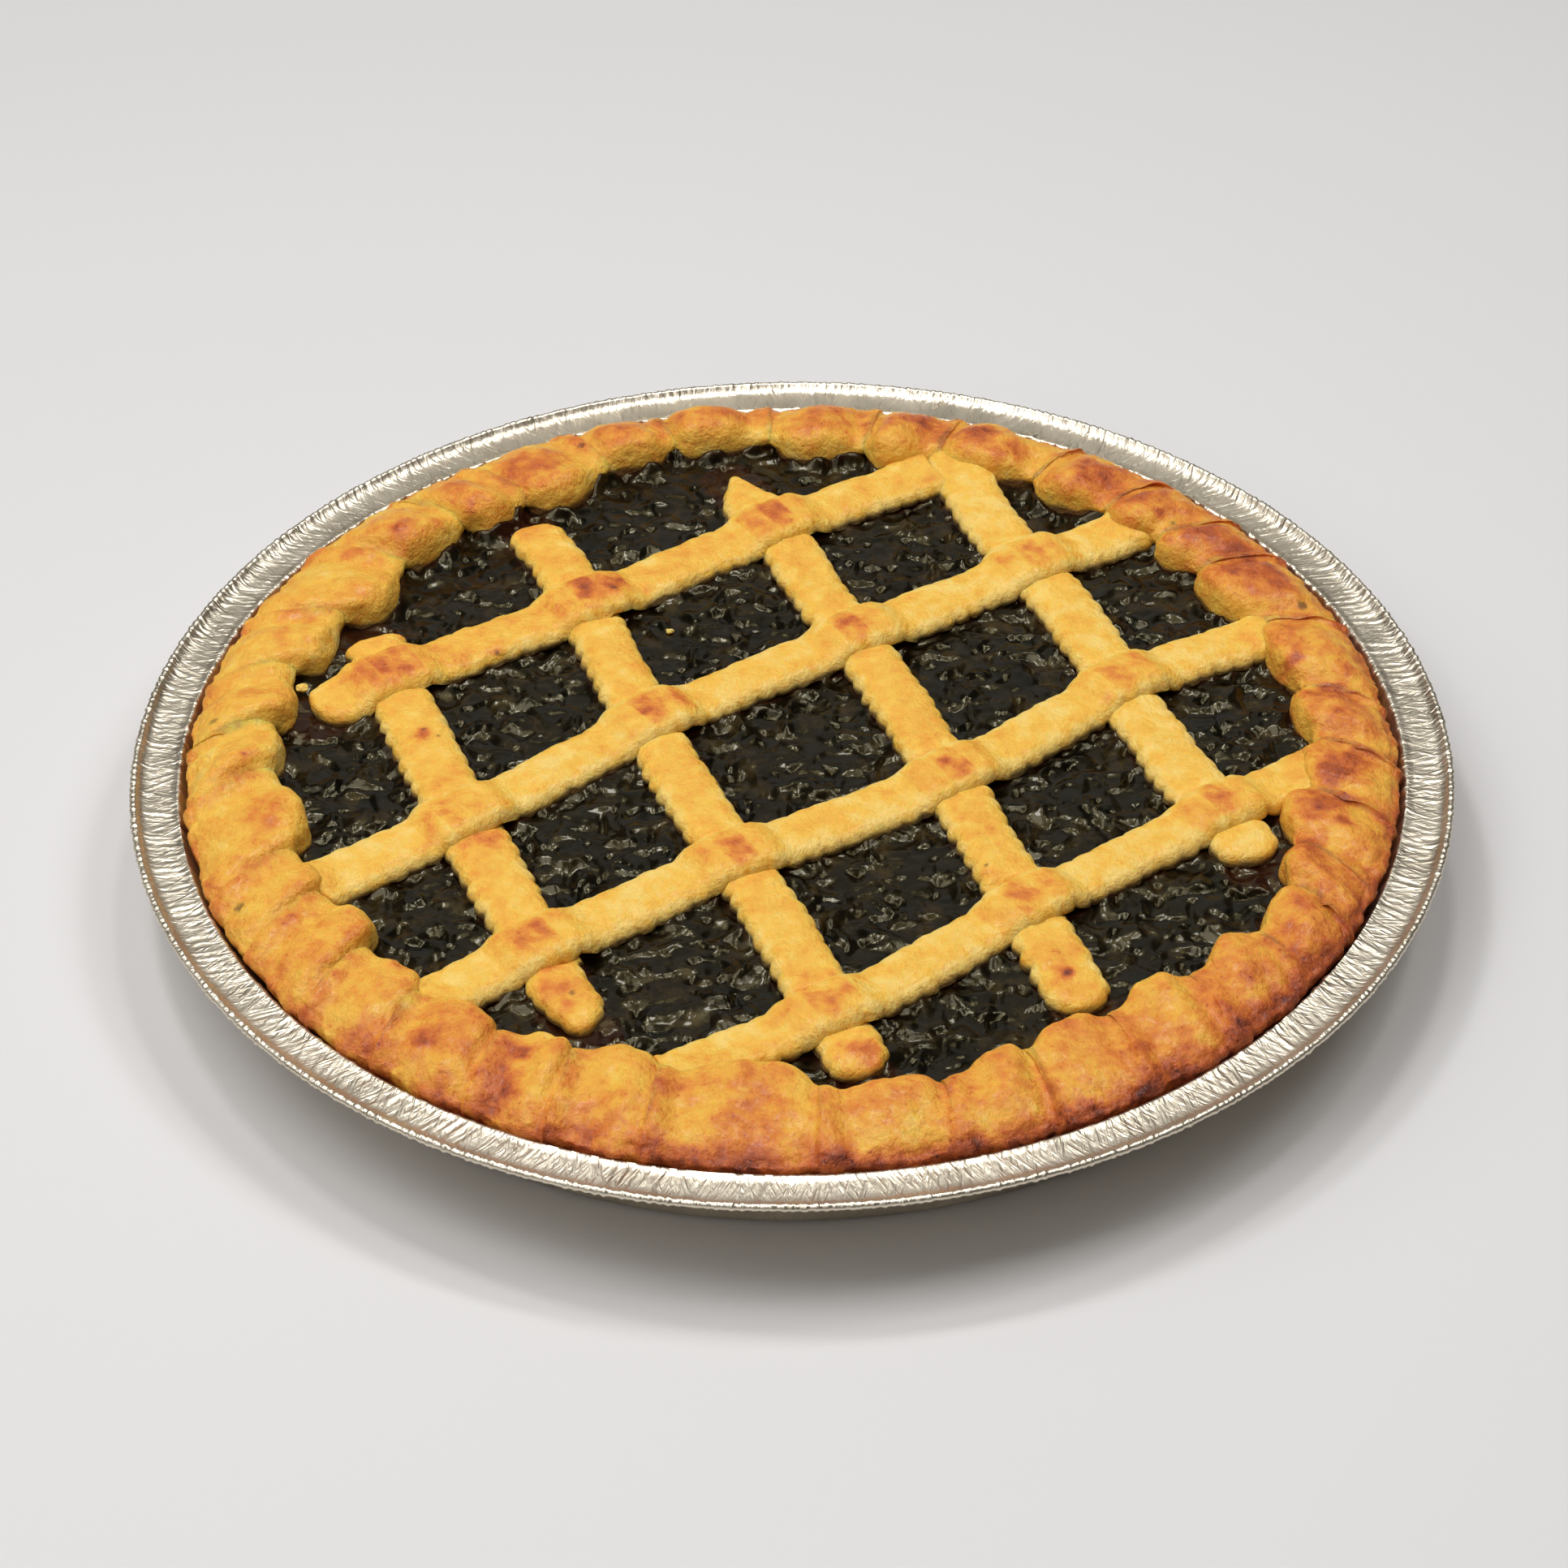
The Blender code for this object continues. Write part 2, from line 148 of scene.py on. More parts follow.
def roll_ring(name, section, columns):
    """Roll a grid round the pie's middle, with a section of (radius, height) points."""
    deselect_all()
    rows = len(section)
    bpy.ops.mesh.primitive_grid_add(x_subdivisions=rows - 1, y_subdivisions=columns, size=0.1)
    piece = bpy.context.object
    piece.name = piece.data.name = name
    number = np.arange(len(piece.data.vertices))
    radius, height = np.array(section)[number % rows].T
    turn = number // rows * math.tau / columns
    set_points(piece, np.column_stack([radius * np.cos(turn), radius * np.sin(turn), height]))
    paint(piece, "row", number % rows)
    seal(RING_MERGE)
    print(name, "rolled:", len(piece.data.vertices), "points")
    return piece


def close_up(piece, angle=40):
    """Shade a finished piece smooth, except at edges sharper than the angle."""
    deselect_all()
    piece.select_set(True)
    bpy.context.view_layer.objects.active = piece
    bpy.ops.object.shade_smooth_by_angle(angle=math.radians(angle))
    triangles = sum(len(face.vertices) - 2 for face in piece.data.polygons)
    print(piece.name, "has", triangles, "triangles")


# %% [markdown]
# The pan is thin foil, pressed from a flat disc. The disc has too much foil for
# the rim, so it gathers into pleats that run outward, all a little different. Its
# edge is rolled into a crimped bead. Real relief catches the light from every
# side, so the flange has enough columns to carry each pleat.
#
# %% Foil pan: sizes and section
PAN_RADIUS = 140.0
PAN_FLOOR = 118.0
RIM_PLANE = 23.6
FLANGE_MIDDLE = 133.5
BEAD = 1.0
PAN_COLUMNS = 2200

bead_middle = PAN_RADIUS - BEAD
pan_inside = [(112.0, 0.6), (116.6, 0.6), (118.4, 1.0), (119.4, 2.2), (120.8, 5.0), (122.6, 8.6),
              (124.4, 12.2), (126.2, 15.8), (127.9, 19.2), (129.0, 21.6), (129.35, 22.5)]
pan_flange = [(129.7, 22.95), (130.2, 22.95), (130.8, 22.72), (131.8, 22.7), (132.9, 22.7),
              (134.0, 22.7), (135.1, 22.7), (136.2, 22.75), (137.1, 23.0), (137.8, 23.5)]
pan_bead = []
for turn in (140, 120, 98, 72, 44, 16, -14, -44, -76, -108, -140):
    pan_bead.append((bead_middle + BEAD * math.cos(math.radians(turn)),
                     RIM_PLANE + BEAD * math.sin(math.radians(turn))))
pan_outside = [(137.4, 22.3), (134.8, 22.2), (131.8, 22.2), (130.3, 22.2), (129.8, 21.7),
               (128.5, 19.0), (126.0, 13.6), (123.0, 7.6), (120.3, 2.2), (119.3, 0.5),
               (118.0, 0.0), (116.0, 0.0), (112.0, 0.0)]
pan_section = pan_inside + pan_flange + pan_bead + pan_outside
pan = roll_ring("foil_pan_pleated", pan_section, PAN_COLUMNS)

# %% [markdown]
# Each pleat is a narrow ridge at its own angle, with its own height and lean.
# Two sets lean opposite ways and cross, which gives the herringbone look that
# the flange has in places.
#
# %% Foil pan: pleats, crimps and dents
def pleat_rows(seed, least, most):
    """Angles round the pan of a row of pleats, with a height for each."""
    draw = random.Random(seed)
    places = []
    angle = 0.0
    while angle < 360 - least:
        places.append((angle, draw.uniform(0.25, 1.0)))
        angle += draw.uniform(least, most)
    return np.array(places)


def pleats(angle, rows, width):
    """How high the pleats of a row stand at each angle, from 0 to 1."""
    angle = angle % 360
    after = np.searchsorted(rows[:, 0], angle)
    height = np.zeros(len(angle))
    for step in (-1, 0):
        pick = (after + step) % len(rows)
        apart = np.abs((angle - rows[pick, 0] + 180) % 360 - 180)
        height = np.maximum(height, rows[pick, 1] * np.clip(1 - apart / width, 0, 1))
    return height


where = points_of(pan)
row = values_of(pan, "row").round()
radius = np.hypot(where[:, 0], where[:, 1])
angle = np.degrees(np.arctan2(where[:, 1], where[:, 0]))
turned = np.radians(angle)
ring_line = np.column_stack([np.cos(turned), np.sin(turned), np.zeros(len(turned))]) * 100
outward = radius - FLANGE_MIDDLE
lean = grain(ring_line, 12.0, 31) * 0.22
flat_pleats = pleats(angle + outward * (0.10 + lean), pleat_rows(3, 0.5, 1.0), 0.40)
cross_pleats = pleats(angle - outward * (0.16 - lean), pleat_rows(4, 0.6, 1.6), 0.34)
cross_share = ease(grain(ring_line, 16.0, 32), -0.1, 0.4)
ridge = np.maximum(flat_pleats, cross_pleats * cross_share)
first_flange = len(pan_inside)
first_bead = first_flange + len(pan_flange)
first_outside = first_bead + len(pan_bead)
on_flange = ease(row, first_flange + 0.5, first_flange + 3.5)
on_flange *= 1 - ease(row, first_bead - 3, first_bead)
under_flange = ((row >= first_outside) & (row < first_outside + 4)).astype(float)
on_wall = ((row > 2) & (row < first_flange)) | ((row > first_outside + 3) & (row < first_outside + 9))
on_bead = (row >= first_bead - 1) & (row < first_outside)
lift = (on_flange + under_flange * 0.8) * (ridge * 0.30 - 0.11)
lift += on_flange * grain(ring_line, 5.0, 33) * 0.16
lip_folds = pleats(angle, pleat_rows(5, 3.5, 8.5), 0.5)
at_lip = lump(row - (first_flange + 1), 1.6)
lift += at_lip * lip_folds * 0.32
inset = np.zeros(len(angle))
wall_pleats = pleats(angle, pleat_rows(6, 0.9, 2.3), 0.75)
up_wall = ease(where[:, 2], 2.0, 20.0)
inset[on_wall] = ((wall_pleats * 0.5 - 0.2) * up_wall)[on_wall]
inset[on_wall] += (grain(where, 14.0, 34) * 0.25)[on_wall]
crimps = pleats(angle + 0.15, pleat_rows(8, 0.45, 0.95), 0.34)
bead_out = np.where(on_bead, crimps * 0.34 - 0.30, 0.0)
bead_out += np.where(on_bead, grain(where, 1.4, 35) * 0.08, 0.0)
shift = bead_out - inset
bead_place = np.column_stack([radius - bead_middle, where[:, 2] - RIM_PLANE])
bead_length = np.maximum(np.hypot(bead_place[:, 0], bead_place[:, 1]), 0.2)
along = np.where(on_bead, bead_place[:, 0] / bead_length, 1.0)
radius = radius + shift * along
where[:, 0] = radius * np.cos(turned)
where[:, 1] = radius * np.sin(turned)
where[:, 2] += lift + np.where(on_bead, bead_out * bead_place[:, 1] / bead_length, 0.0)
where[:, 2] += np.where(on_flange > 0, 0.12 * np.sin(turned * 5 + 1.0), 0.0)
set_points(pan, where)
print("pleats stand", round(float(lift.max()), 2), "mm high at most")
close_up(pan, 70)

# %% [markdown]
# The shell is shortcrust. Its edge was folded over in flaps, one after another,
# and each flap puffed up into a pillow in the heat. The table gives where each
# pillow starts, in degrees, and how far from the middle its inner tip lies. The
# creases between pillows lean as they run outward.
#
# %% Pastry rim: the lobes
LOBES = np.array([
    (-4, 107.5), (6, 107.5), (19, 104.5), (31, 105.5), (38.5, 106), (47, 106.5), (58, 108.5),
    (71, 105.5), (80, 106.8), (91.5, 111), (104, 110), (113, 102.8), (125, 103.8), (134, 106),
    (144.5, 101.5), (157, 105.5), (168, 107), (178.5, 107.5), (187, 103.5), (201, 105.5),
    (209, 102.7), (219, 105), (228.5, 105), (239, 103.5), (247, 101), (256, 101), (272, 107.5),
    (284, 105.5), (293.5, 103.3), (303, 104), (313, 107.5), (323, 110.5), (332, 108),
    (338, 104.3), (348, 107),
])
LOBE_COUNT = len(LOBES)
LOBE_RING = 118
FOLD_SLANT = 2.2
JAM_LEVEL = 21.4
SHELL_FLOOR = 9.5
rise_draw = random.Random(7)
lobe_lift = np.array([rise_draw.uniform(-0.7, 0.7) for lobe in LOBES])
shape_draw = np.random.default_rng(21)
ridge_place = shape_draw.uniform(0.35, 0.65, LOBE_COUNT)
ridge_lean = shape_draw.uniform(-0.35, 0.35, LOBE_COUNT)
ridge_height = shape_draw.uniform(0.2, 1.0, LOBE_COUNT)
tip_place = shape_draw.uniform(0.56, 0.74, LOBE_COUNT)
tip_bend = math.log(0.5) / np.log(tip_place)


def rim_form(angle):
    """Facts of the rim at each angle: lobe, share across it, inner edge, fullness, rise."""
    first = LOBES[0, 0]
    turned = (angle - first) % 360 + first
    lobe = np.searchsorted(LOBES[:, 0], turned, side="right") - 1
    ends = np.append(LOBES[1:, 0], first + 360)
    share = (turned - LOBES[lobe, 0]) / (ends[lobe] - LOBES[lobe, 0])
    across = share ** tip_bend[lobe]
    notches = (np.roll(LOBES[:, 1], 1) + LOBES[:, 1]) / 2 + 5.0
    after = np.roll(notches, -1)
    fullness = 1 - np.abs(2 * across - 1) ** 3.2
    notch = notches[lobe] + (after[lobe] - notches[lobe]) * share
    inner = notch - (notch - LOBES[lobe, 1]) * fullness ** 0.8
    middle = np.radians((LOBES[lobe, 0] + ends[lobe]) / 2)
    lobe_rise = 6.4 + 1.4 * np.sin(middle) + lobe_lift[lobe]
    width = (ends[lobe] - LOBES[lobe, 0]) * math.tau / 360 * LOBE_RING
    return lobe, across, inner, fullness, lobe_rise, width


def slanted(angle, share):
    """A fold's angle, turned by its slant from 1 inside to -1 outside."""
    return angle + share * FOLD_SLANT * np.cos(np.radians(angle))


def inside_rim(where):
    """How far inside the shell's inner face each point lies, and its angle."""
    angle = np.degrees(np.arctan2(where[:, 1], where[:, 0]))
    straight_angle = angle
    for attempt in range(3):
        straight_angle = angle - FOLD_SLANT * np.cos(np.radians(straight_angle))
    inner = rim_form(straight_angle)[2]
    return inner - np.hypot(where[:, 0], where[:, 1]), angle


print(LOBE_COUNT, "lobes,", round(np.diff(LOBES[:, 0]).min(), 1), "to",
      round(np.diff(LOBES[:, 0]).max(), 1), "degrees wide")

# %% [markdown]
# The rim's section runs from the shell's floor up the inner face, over the
# pillow, down its outer face into the pan and back under the floor. It is drawn
# through eleven marks, with most of its rows where the rim can be seen.
#
# %% Pastry rim: roll it and lay it over the lobes
RIM_ROWS = (1, 6, 7, 7, 9, 14, 11, 8, 4, 1)
RIM_COLUMNS = 1260
RIM_HIGHEST = 32.0

places = [mark + step / rows for mark, rows in enumerate(RIM_ROWS) for step in range(rows)]
places = np.array(places + [len(RIM_ROWS)])
start_section = [(100 + 0.4 * place, 5 + place) for place in places]
crust = roll_ring("pastry_crust_baked", start_section, RIM_COLUMNS)
where = points_of(crust)
row = values_of(crust, "row").round().astype(int)
angle = np.degrees(np.arctan2(where[:, 1], where[:, 0]))
lobe, across, inner, fullness, lobe_rise, lobe_width = rim_form(angle)
edge = 126.4 + 1.2 * fullness - 0.5 * np.sin(np.radians(angle))
foot = np.full(len(angle), JAM_LEVEL + 0.9)
flat = np.ones(len(angle))


def dome(valley, roundness):
    """Height of the rim over its foot, from the lowest in a valley to the full lobe."""
    full = RIM_PLANE + lobe_rise - foot
    low = RIM_PLANE + valley - foot
    return low + (full - low) * (1 - np.abs(2 * across - 1) ** roundness)


marks = np.array([
    (inner, flat * SHELL_FLOOR, flat),
    (inner, flat * (JAM_LEVEL - 3), flat),
    (inner, foot, flat),
    (inner + 0.7, foot + 0.55 * dome(1.8, 2.6), flat),
    (inner + 2.7, foot + 0.9 * dome(1.8, 2.8), flat * 0.7),
    (inner + 7.4, foot + dome(1.8, 2.2), flat * 0.2),
    (inner + 0.7 * (edge - inner), foot + 0.84 * dome(2.4, 2.3), flat * -0.4),
    (edge - 0.8, foot + 0.38 * dome(3.6, 2.7), flat * -0.9),
    (edge, flat * (RIM_PLANE - 3), flat * -1),
    (flat * (PAN_FLOOR + 0.1), flat * 1.9, flat * -1),
    (flat * (PAN_FLOOR - 1.5), flat * 0.9, flat * -1),
])
place = places[row]
mark = np.minimum(place.astype(int), len(RIM_ROWS) - 1)
share = (place - mark)[:, None]
everyone = np.arange(len(angle))
a = marks[np.maximum(mark - 1, 0), :, everyone]
b = marks[mark, :, everyone]
c = marks[mark + 1, :, everyone]
d = marks[np.minimum(mark + 2, len(RIM_ROWS)), :, everyone]
curved = curve_between(a, b, c, d, share)
straight = b + (c - b) * share
bent = ((mark >= 1) & (mark <= 7))[:, None]
drawn = np.where(bent, curved, straight)
turned = np.radians(slanted(angle, drawn[:, 2]))
set_points(crust, np.column_stack([drawn[:, 0] * np.cos(turned), drawn[:, 0] * np.sin(turned),
                                   drawn[:, 1]]))

# %% [markdown]
# Now the pillows get what tells dough from plastic: a ridge on each, a sharp
# crease between neighbours, shallow dents, and a crumb, coarser outside.
#
# %% Pastry rim: ridges, creases and crumb
where = points_of(crust)
facing = normals_of(crust)
seen = ease(place, 1.6, 2.6) * (1 - ease(place, 7.6, 8.4))
outer_face = ease(place, 5.8, 7.2)
to_crease = np.minimum(across, 1 - across) * lobe_width
ridge_line = ridge_place[lobe] + ridge_lean[lobe] * (place - 5.0) / 3
folds = grain(where + 3.0 * grain(where, 11.0, 46)[:, None], 8.5, 45)
on_top = ease(place, 2.8, 4.4)
push = ridge_height[lobe] * (lump(across - ridge_line, 0.2) - 0.45) * ease(place, 2.5, 4.0)
push -= (2.2 - 0.6 * outer_face) * lump(to_crease, 1.1) * ease(place, 2.2, 3.2)
push += grain(where, 15.0, 47) * 0.7 * on_top
push += (0.3 - 1.1 * np.abs(folds)) * on_top * 0.25
push += grain(where, 6.5, 48) * 0.28 * on_top
push += grain(where, 4.2, 42) * 0.3
push += grain(where, 2.0, 43) * (0.14 + 0.26 * outer_face)
push += grain(where, 1.05, 44) * (0.08 + 0.20 * outer_face)
where += facing * (push * seen)[:, None]
where[:, 2] = np.minimum(where[:, 2], RIM_HIGHEST)
set_points(crust, where)
print("the rim's highest point:", round(float(where[:, 2].max()), 2), "mm")

# %% [markdown]
# Browning follows the heat: pillow tops and outer edges colour most, and faces turned to the moist jam
# stay cream. Spots that caught more heat are listed: where, how wide, and how brown.
#
# %% Pastry rim: browning
RIM_SPOTS = (
    (32, 117, 5, .26), (45, 108, 4, .30), (52, 104, 3, .2), (73, 92, 5, .26), (80, 80, 4, .2),
    (84, 76, 1.2, .4), (93, 70, 4, .34), (99, 63, 5, .30), (101, 56, 5, .36), (108, 51, 3.5, .34),
    (109, 34, 4, .2), (109, 22, 1.4, .4), (117, 10, 5, .38), (117, -13, 4, .36), (113, -17, 3, .3),
    (109, -4, 1.4, .4), (111, -26, 4, .34), (113, -33, 1.8, .4), (106, -39, 3, .28),
    (98, -76, 7, .1), (93, -89, 6, .16), (-53, -99, 1.8, .5), (-56, -108, 3.5, .4),
    (-72, -96, 3.5, .36), (-70, -108, 5, .2), (-83, -93, 3.5, .36), (-38, -118, 6, .2),
    (-12, -122, 8, .2), (-108, -29, 8, .08), (-113, 12, 6, .10), (-107, 47, 6, .16),
    (-88, 71, 5, .22), (-76, 90, 7, .16), (-62, 97, 7, .2), (-34, 117, 6, .14),
    (-13, 120, 6, .14), (10, 119, 6, .16), (51, -110, 7, .12), (69, -102, 7, .08),
)
RIM_SPECKS = ((-123, 5, 1.1), (-112, -54, 1.3), (113, 43, 1.5), (-48, 108, 1.2), (87, 74, 0.9))


def spot_browning(where, spots):
    """Extra browning from spots of (x, y, reach, strength), broken up by the crumb."""
    wobble = 1 + 0.35 * grain(where, 3.0, 51) + 0.25 * grain(where, 1.2, 52)
    total = np.zeros(len(where))
    for x, y, reach, strength in spots:
        apart = np.hypot(where[:, 0] - x, where[:, 1] - y)
        total = np.maximum(total, strength * lump(apart * wobble, reach))
    return total


def specks(where, spots):
    """Small burnt specks: 1 inside and 0 outside."""
    total = np.zeros(len(where))
    for x, y, reach in spots:
        apart = np.hypot(where[:, 0] - x, where[:, 1] - y) * (1 + 0.3 * grain(where, 0.9, 53))
        total = np.maximum(total, 1 - ease(apart, reach * 0.5, reach))
    return total


front = ease(-where[:, 1], 20, 90)
bake = np.full(len(where), 0.34)
bake += 0.16 * ease(where[:, 2] - RIM_PLANE, 3.0, 7.5)
bake -= 0.05 * (1 - ease(place, 3.0, 4.6))
# Painted shade: the outer faces towards the front are browned further, partly real toasting and partly
# painted shade.
toasted_and_shaded = front * ease(where[:, 0], -75, 0)
bake += (0.18 + 0.24 * toasted_and_shaded) * ease(place, 6.2, 7.6) + 0.05 * front
bake += 0.09 * ease(where[:, 0], 40, 110)
bake += 0.16 * grain(where, 10.0, 54) + 0.12 * grain(where, 4.0, 55) + 0.06 * grain(where, 1.8, 57)
# Painted shade: the creases between pillows are browned as if shadowed.
bake += 0.12 * lump(to_crease, 1.8) * ease(place, 3.2, 4.6)
bake -= 0.12 * ease(-where[:, 0], 50, 110) * (1 - 0.5 * front)
bake += spot_browning(where, RIM_SPOTS)
paint(crust, "bake", np.clip(bake, 0, 0.76 + 0.08 * toasted_and_shaded * outer_face))
paint(crust, "burnt", specks(where, RIM_SPECKS))
climb_at = ease(np.sin(np.radians(angle)), 0.1, 0.8)
stain_and_shade_top = JAM_LEVEL + 0.9 + 0.8 * grain(where, 5.0, 56) + 1.2 * climb_at
paint(crust, "stain", (1 - ease(where[:, 2], stain_and_shade_top, stain_and_shade_top + 0.9)) * (place < 4))
paint(crust, "coarse", outer_face)
close_up(crust, 60)

# %% [markdown]
# The strips were cut with a fluted wheel and laid over the jam: four one way,
# and four the other way over them. Each follows a soft curve through its points,
# and starts as a flat grid that is rolled into a tube round that route.
#
# %% Strips: routes
LONG_STRIPS = (
    (14.0, 5.0, 1.0, ((-102, 12.5), (-88, 23.5), (-45, 50.5), (-2.5, 80), (30, 99), (34, 101.3))),
    (13.8, 2.0, 1.0, ((-98.5, -46.3), (-67, -23), (-30, 8), (13, 36.5), (54.5, 63.5), (83.5, 81))),
    (13.6, 2.0, 1.0, ((-73, -82), (-55, -68), (-12, -38.5), (33.5, -12), (75, 21.5), (111, 40))),
    (12.8, 1.0, 1.0, ((-25.5, -104), (9.4, -83.7), (46, -55.2), (94, -21.2), (116, -7))),
)
CROSS_STRIPS = (
    (13.9, 2.5, 5.0, ((-91.5, 38.5), (-86.3, 23.5), (-77.5, -0.8), (-60.5, -42.8), (-41, -90))),
    (13.2, 4.5, 6.0, ((-59.5, 80.5), (-49.7, 61.8), (-37.2, 25.8), (-22.2, -14.2), (-3.7, -56.2),
                      (13.5, -103.5))),
    (13.3, 13.0, 6.0, ((-13, 100), (-3, 80), (5.5, 57.5), (23.5, 14.5), (39.5, -31), (57.5, -85.3))),
    (14.0, 1.0, 6.0, ((38.5, 108), (44, 87.7), (53, 65.7), (63.5, 43.2), (79, -2.3), (95.5, -40))),
)
STRIP_HEIGHT = 3.8
PRESSED_HEIGHT = 2.5
STRIP_UNDERSIDE = 22.05
CROSSING_HALF = 7.6
CROSSING_RAMP = 6.0


def smooth_route(points):
    """A fine line through the points, and the distance along it."""
    knots = [np.array(point, float) for point in points]
    knots = [2 * knots[0] - knots[1], *knots, 2 * knots[-1] - knots[-2]]
    line = []
    for a, b, c, d in zip(knots, knots[1:], knots[2:], knots[3:]):
        for share in np.arange(24) / 24:
            line.append(curve_between(a, b, c, d, share))
    line = np.array(line + [knots[-2]])
    reached = np.append(0, np.cumsum(np.hypot(*np.diff(line, axis=0).T)))
    return line, reached


class Route:
    """One strip's line over the jam, with the places where others cross it."""

    def __init__(self, name, spec):
        self.name = name
        self.width, self.left_round, self.right_round, points = spec
        self.line, self.reached = smooth_route(points)
        self.length = self.reached[-1]
        self.crossings = []

    def spot(self, distance):
        """Points of the route at distances along it."""
        return np.column_stack([np.interp(distance, self.reached, self.line[:, k]) for k in (0, 1)])

    def heading(self, distance):
        """Directions of the route at distances along it."""
        along = self.spot(distance + 0.6) - self.spot(distance - 0.6)
        return along / np.linalg.norm(along, axis=1, keepdims=True)

    def pressed(self, distance, half=CROSSING_HALF, ramp=CROSSING_RAMP):
        """1 on a crossing and 0 away from it."""
        nearest = np.min([np.abs(distance - place) for place in self.crossings], axis=0)
        return 1 - ease(nearest, half, half + ramp)


def note_crossings(long_routes, cross_routes):
    """Note on each route where it meets a route of the other set."""
    for over in long_routes:
        for under in cross_routes:
            gap = np.linalg.norm(over.line[:, None, :] - under.line[None, :, :], axis=2)
            i, k = np.unravel_index(np.argmin(gap), gap.shape)
            if gap[i, k] < 3.0:
                over.crossings.append(over.reached[i])
                under.crossings.append(under.reached[k])


long_routes = [Route(f"long_strip_{i}", spec) for i, spec in enumerate(LONG_STRIPS, 1)]
cross_routes = [Route(f"cross_strip_{i}", spec) for i, spec in enumerate(CROSS_STRIPS, 1)]
note_crossings(long_routes, cross_routes)
for route in long_routes + cross_routes:
    print(route.name, round(route.length, 1), "mm, crossed at", np.round(route.crossings, 1))

# %% [markdown]
# A strip's section has a flat underside and a low arch with full, soft shoulders:
# the sharp corners of the cut swelled round in the heat. The fluted wheel leaves
# scallops along both edges, deepest near the underside.
#
# %% Strips: section and form
FLUTE_PITCH = 4.6
FLUTE_DEPTH = 0.8
STATION_STEP = 0.45


def strip_section():
    """One turn round a strip: side from -1 to 1, and height from 0 to 1."""
    under = [(side, 0.0) for side in np.linspace(-0.88, 0.88, 4)]
    arch = []
    for turn in np.radians([4, 12, 20, 28, 36, 43, 50, 56, 62, 67, 72, 77, 81, 85, 90]):
        arch.append((math.cos(turn) ** 0.52, math.sin(turn) ** 0.72))
    crown = arch[-1]
    right = arch[:-1]
    spread = []
    for here, after in zip(right, right[1:] + [crown]):
        spread.append(here)
        if here[0] - after[0] > 0.07:
            spread.append(((here[0] + after[0]) / 2, (here[1] + after[1]) / 2 + 0.002))
    mirrored = [(-side, up) for side, up in spread[::-1]]
    return np.array(under + spread + [crown] + mirrored)


def roll_strip(route, lies_over, ends=()):
    """A strip's mesh: a grid rolled round the route, then crimped and swollen."""
    deselect_all()
    section = strip_section()
    around = len(section)
    stations = int(route.length / STATION_STEP)
    bpy.ops.mesh.primitive_grid_add(x_subdivisions=around, y_subdivisions=stations, size=0.1)
    piece = bpy.context.object
    piece.name = piece.data.name = route.name + "_baked"
    count = len(piece.data.vertices)
    place = np.arange(count)
    station = place // (around + 1)
    turn = place % (around + 1)
    side, up = section[turn % around].T
    distance = route.length * station / stations
    along = route.heading(distance)
    sideways = np.column_stack([-along[:, 1], along[:, 0]])
    seed = sum(map(ord, route.name))
    lane = np.column_stack([distance, np.sign(side) * 20, np.full(count, float(seed))])
    phase = distance + seed % 5 + np.sign(side) * 0.8 + grain(lane, 14.0, seed + 1) * 1.1
    flute = np.abs(np.sin(math.pi * phase / FLUTE_PITCH)) ** 0.7 - 0.7
    flute *= 0.55 + 0.75 * ease(grain(lane, 9.0, seed + 2), -0.6, 0.6)
    flute *= 1 - 0.65 * up ** 2
    drift = grain(lane, 13.0, seed) * 0.45
    depth = FLUTE_DEPTH * (0.75 if lies_over else 1.1)
    half = route.width / 2 + 0.1 + depth * flute + drift
    taper = np.ones(count)
    for reach, length in ((distance, route.left_round), (route.length - distance, route.right_round)):
        inward = np.clip(1 - reach / length, 0, 1)
        taper = np.minimum(taper, np.sqrt(np.maximum(1 - inward ** 2, 0.0006)))
    half = half * taper
    for end, shape in ends:
        reach = distance if end == "left" else route.length - distance
        table = np.array(shape)
        wide = np.where(side > 0, np.interp(reach, table[:, 0], table[:, 1]),
                        np.interp(reach, table[:, 0], table[:, 2]))
        near = reach < table[-1, 0]
        half = np.where(near, wide + depth * flute * ease(wide, 2, 5), half)
    low = STRIP_UNDERSIDE - 0.35
    high = np.full(count, STRIP_HEIGHT + 0.35)
    if lies_over:
        raised = route.pressed(distance, 5.6, 6.4)
        low = low + raised * (PRESSED_HEIGHT - 0.4)
        high = high + raised * 0.15
        half = half * (1 + 0.05 * raised)
    else:
        high = high - route.pressed(distance, 5.2, 2.6) * (STRIP_HEIGHT - PRESSED_HEIGHT + 0.2)
    thin = np.sqrt(taper)
    height = low + up * high * thin + (1 - thin) * 0.6
    where = np.column_stack([route.spot(distance) + sideways * (side * half)[:, None], height])
    inside = inside_rim(where)[0]
    rise = 0.8 * ease(-inside, -4.5, 0.5) - 4.5 * ease(-inside, 1.4, 8.0)
    where[:, 2] += rise * ease(up, 0.0, 0.8)
    set_points(piece, where)
    seal(STRIP_MERGE)
    return piece


# %% [markdown]
# The free ends aren't all alike. One is a pointed flap, one is torn, and the
# others are rounded, so two ends get their own outline: the distance from the
# end, then the reach to the left and to the right of the route.
#
# %% Strips: the odd ends
ODD_ENDS = {
    "cross_strip_3": [("left", ((0, 0.4, 0.4), (2, 1.2, 2.0), (5, 2.0, 4.6), (9, 3.6, 7.4),
                                (13, 6.0, 8.2), (17, 7.2, 7.6), (24, 6.3, 6.3)))],
    "cross_strip_1": [("right", ((0, 0.6, 1.0), (1.5, 3.4, 2.6), (4, 5.6, 3.6), (8, 6.6, 5.2),
                                 (14, 6.2, 6.6), (20, 6.3, 6.3)))],
}
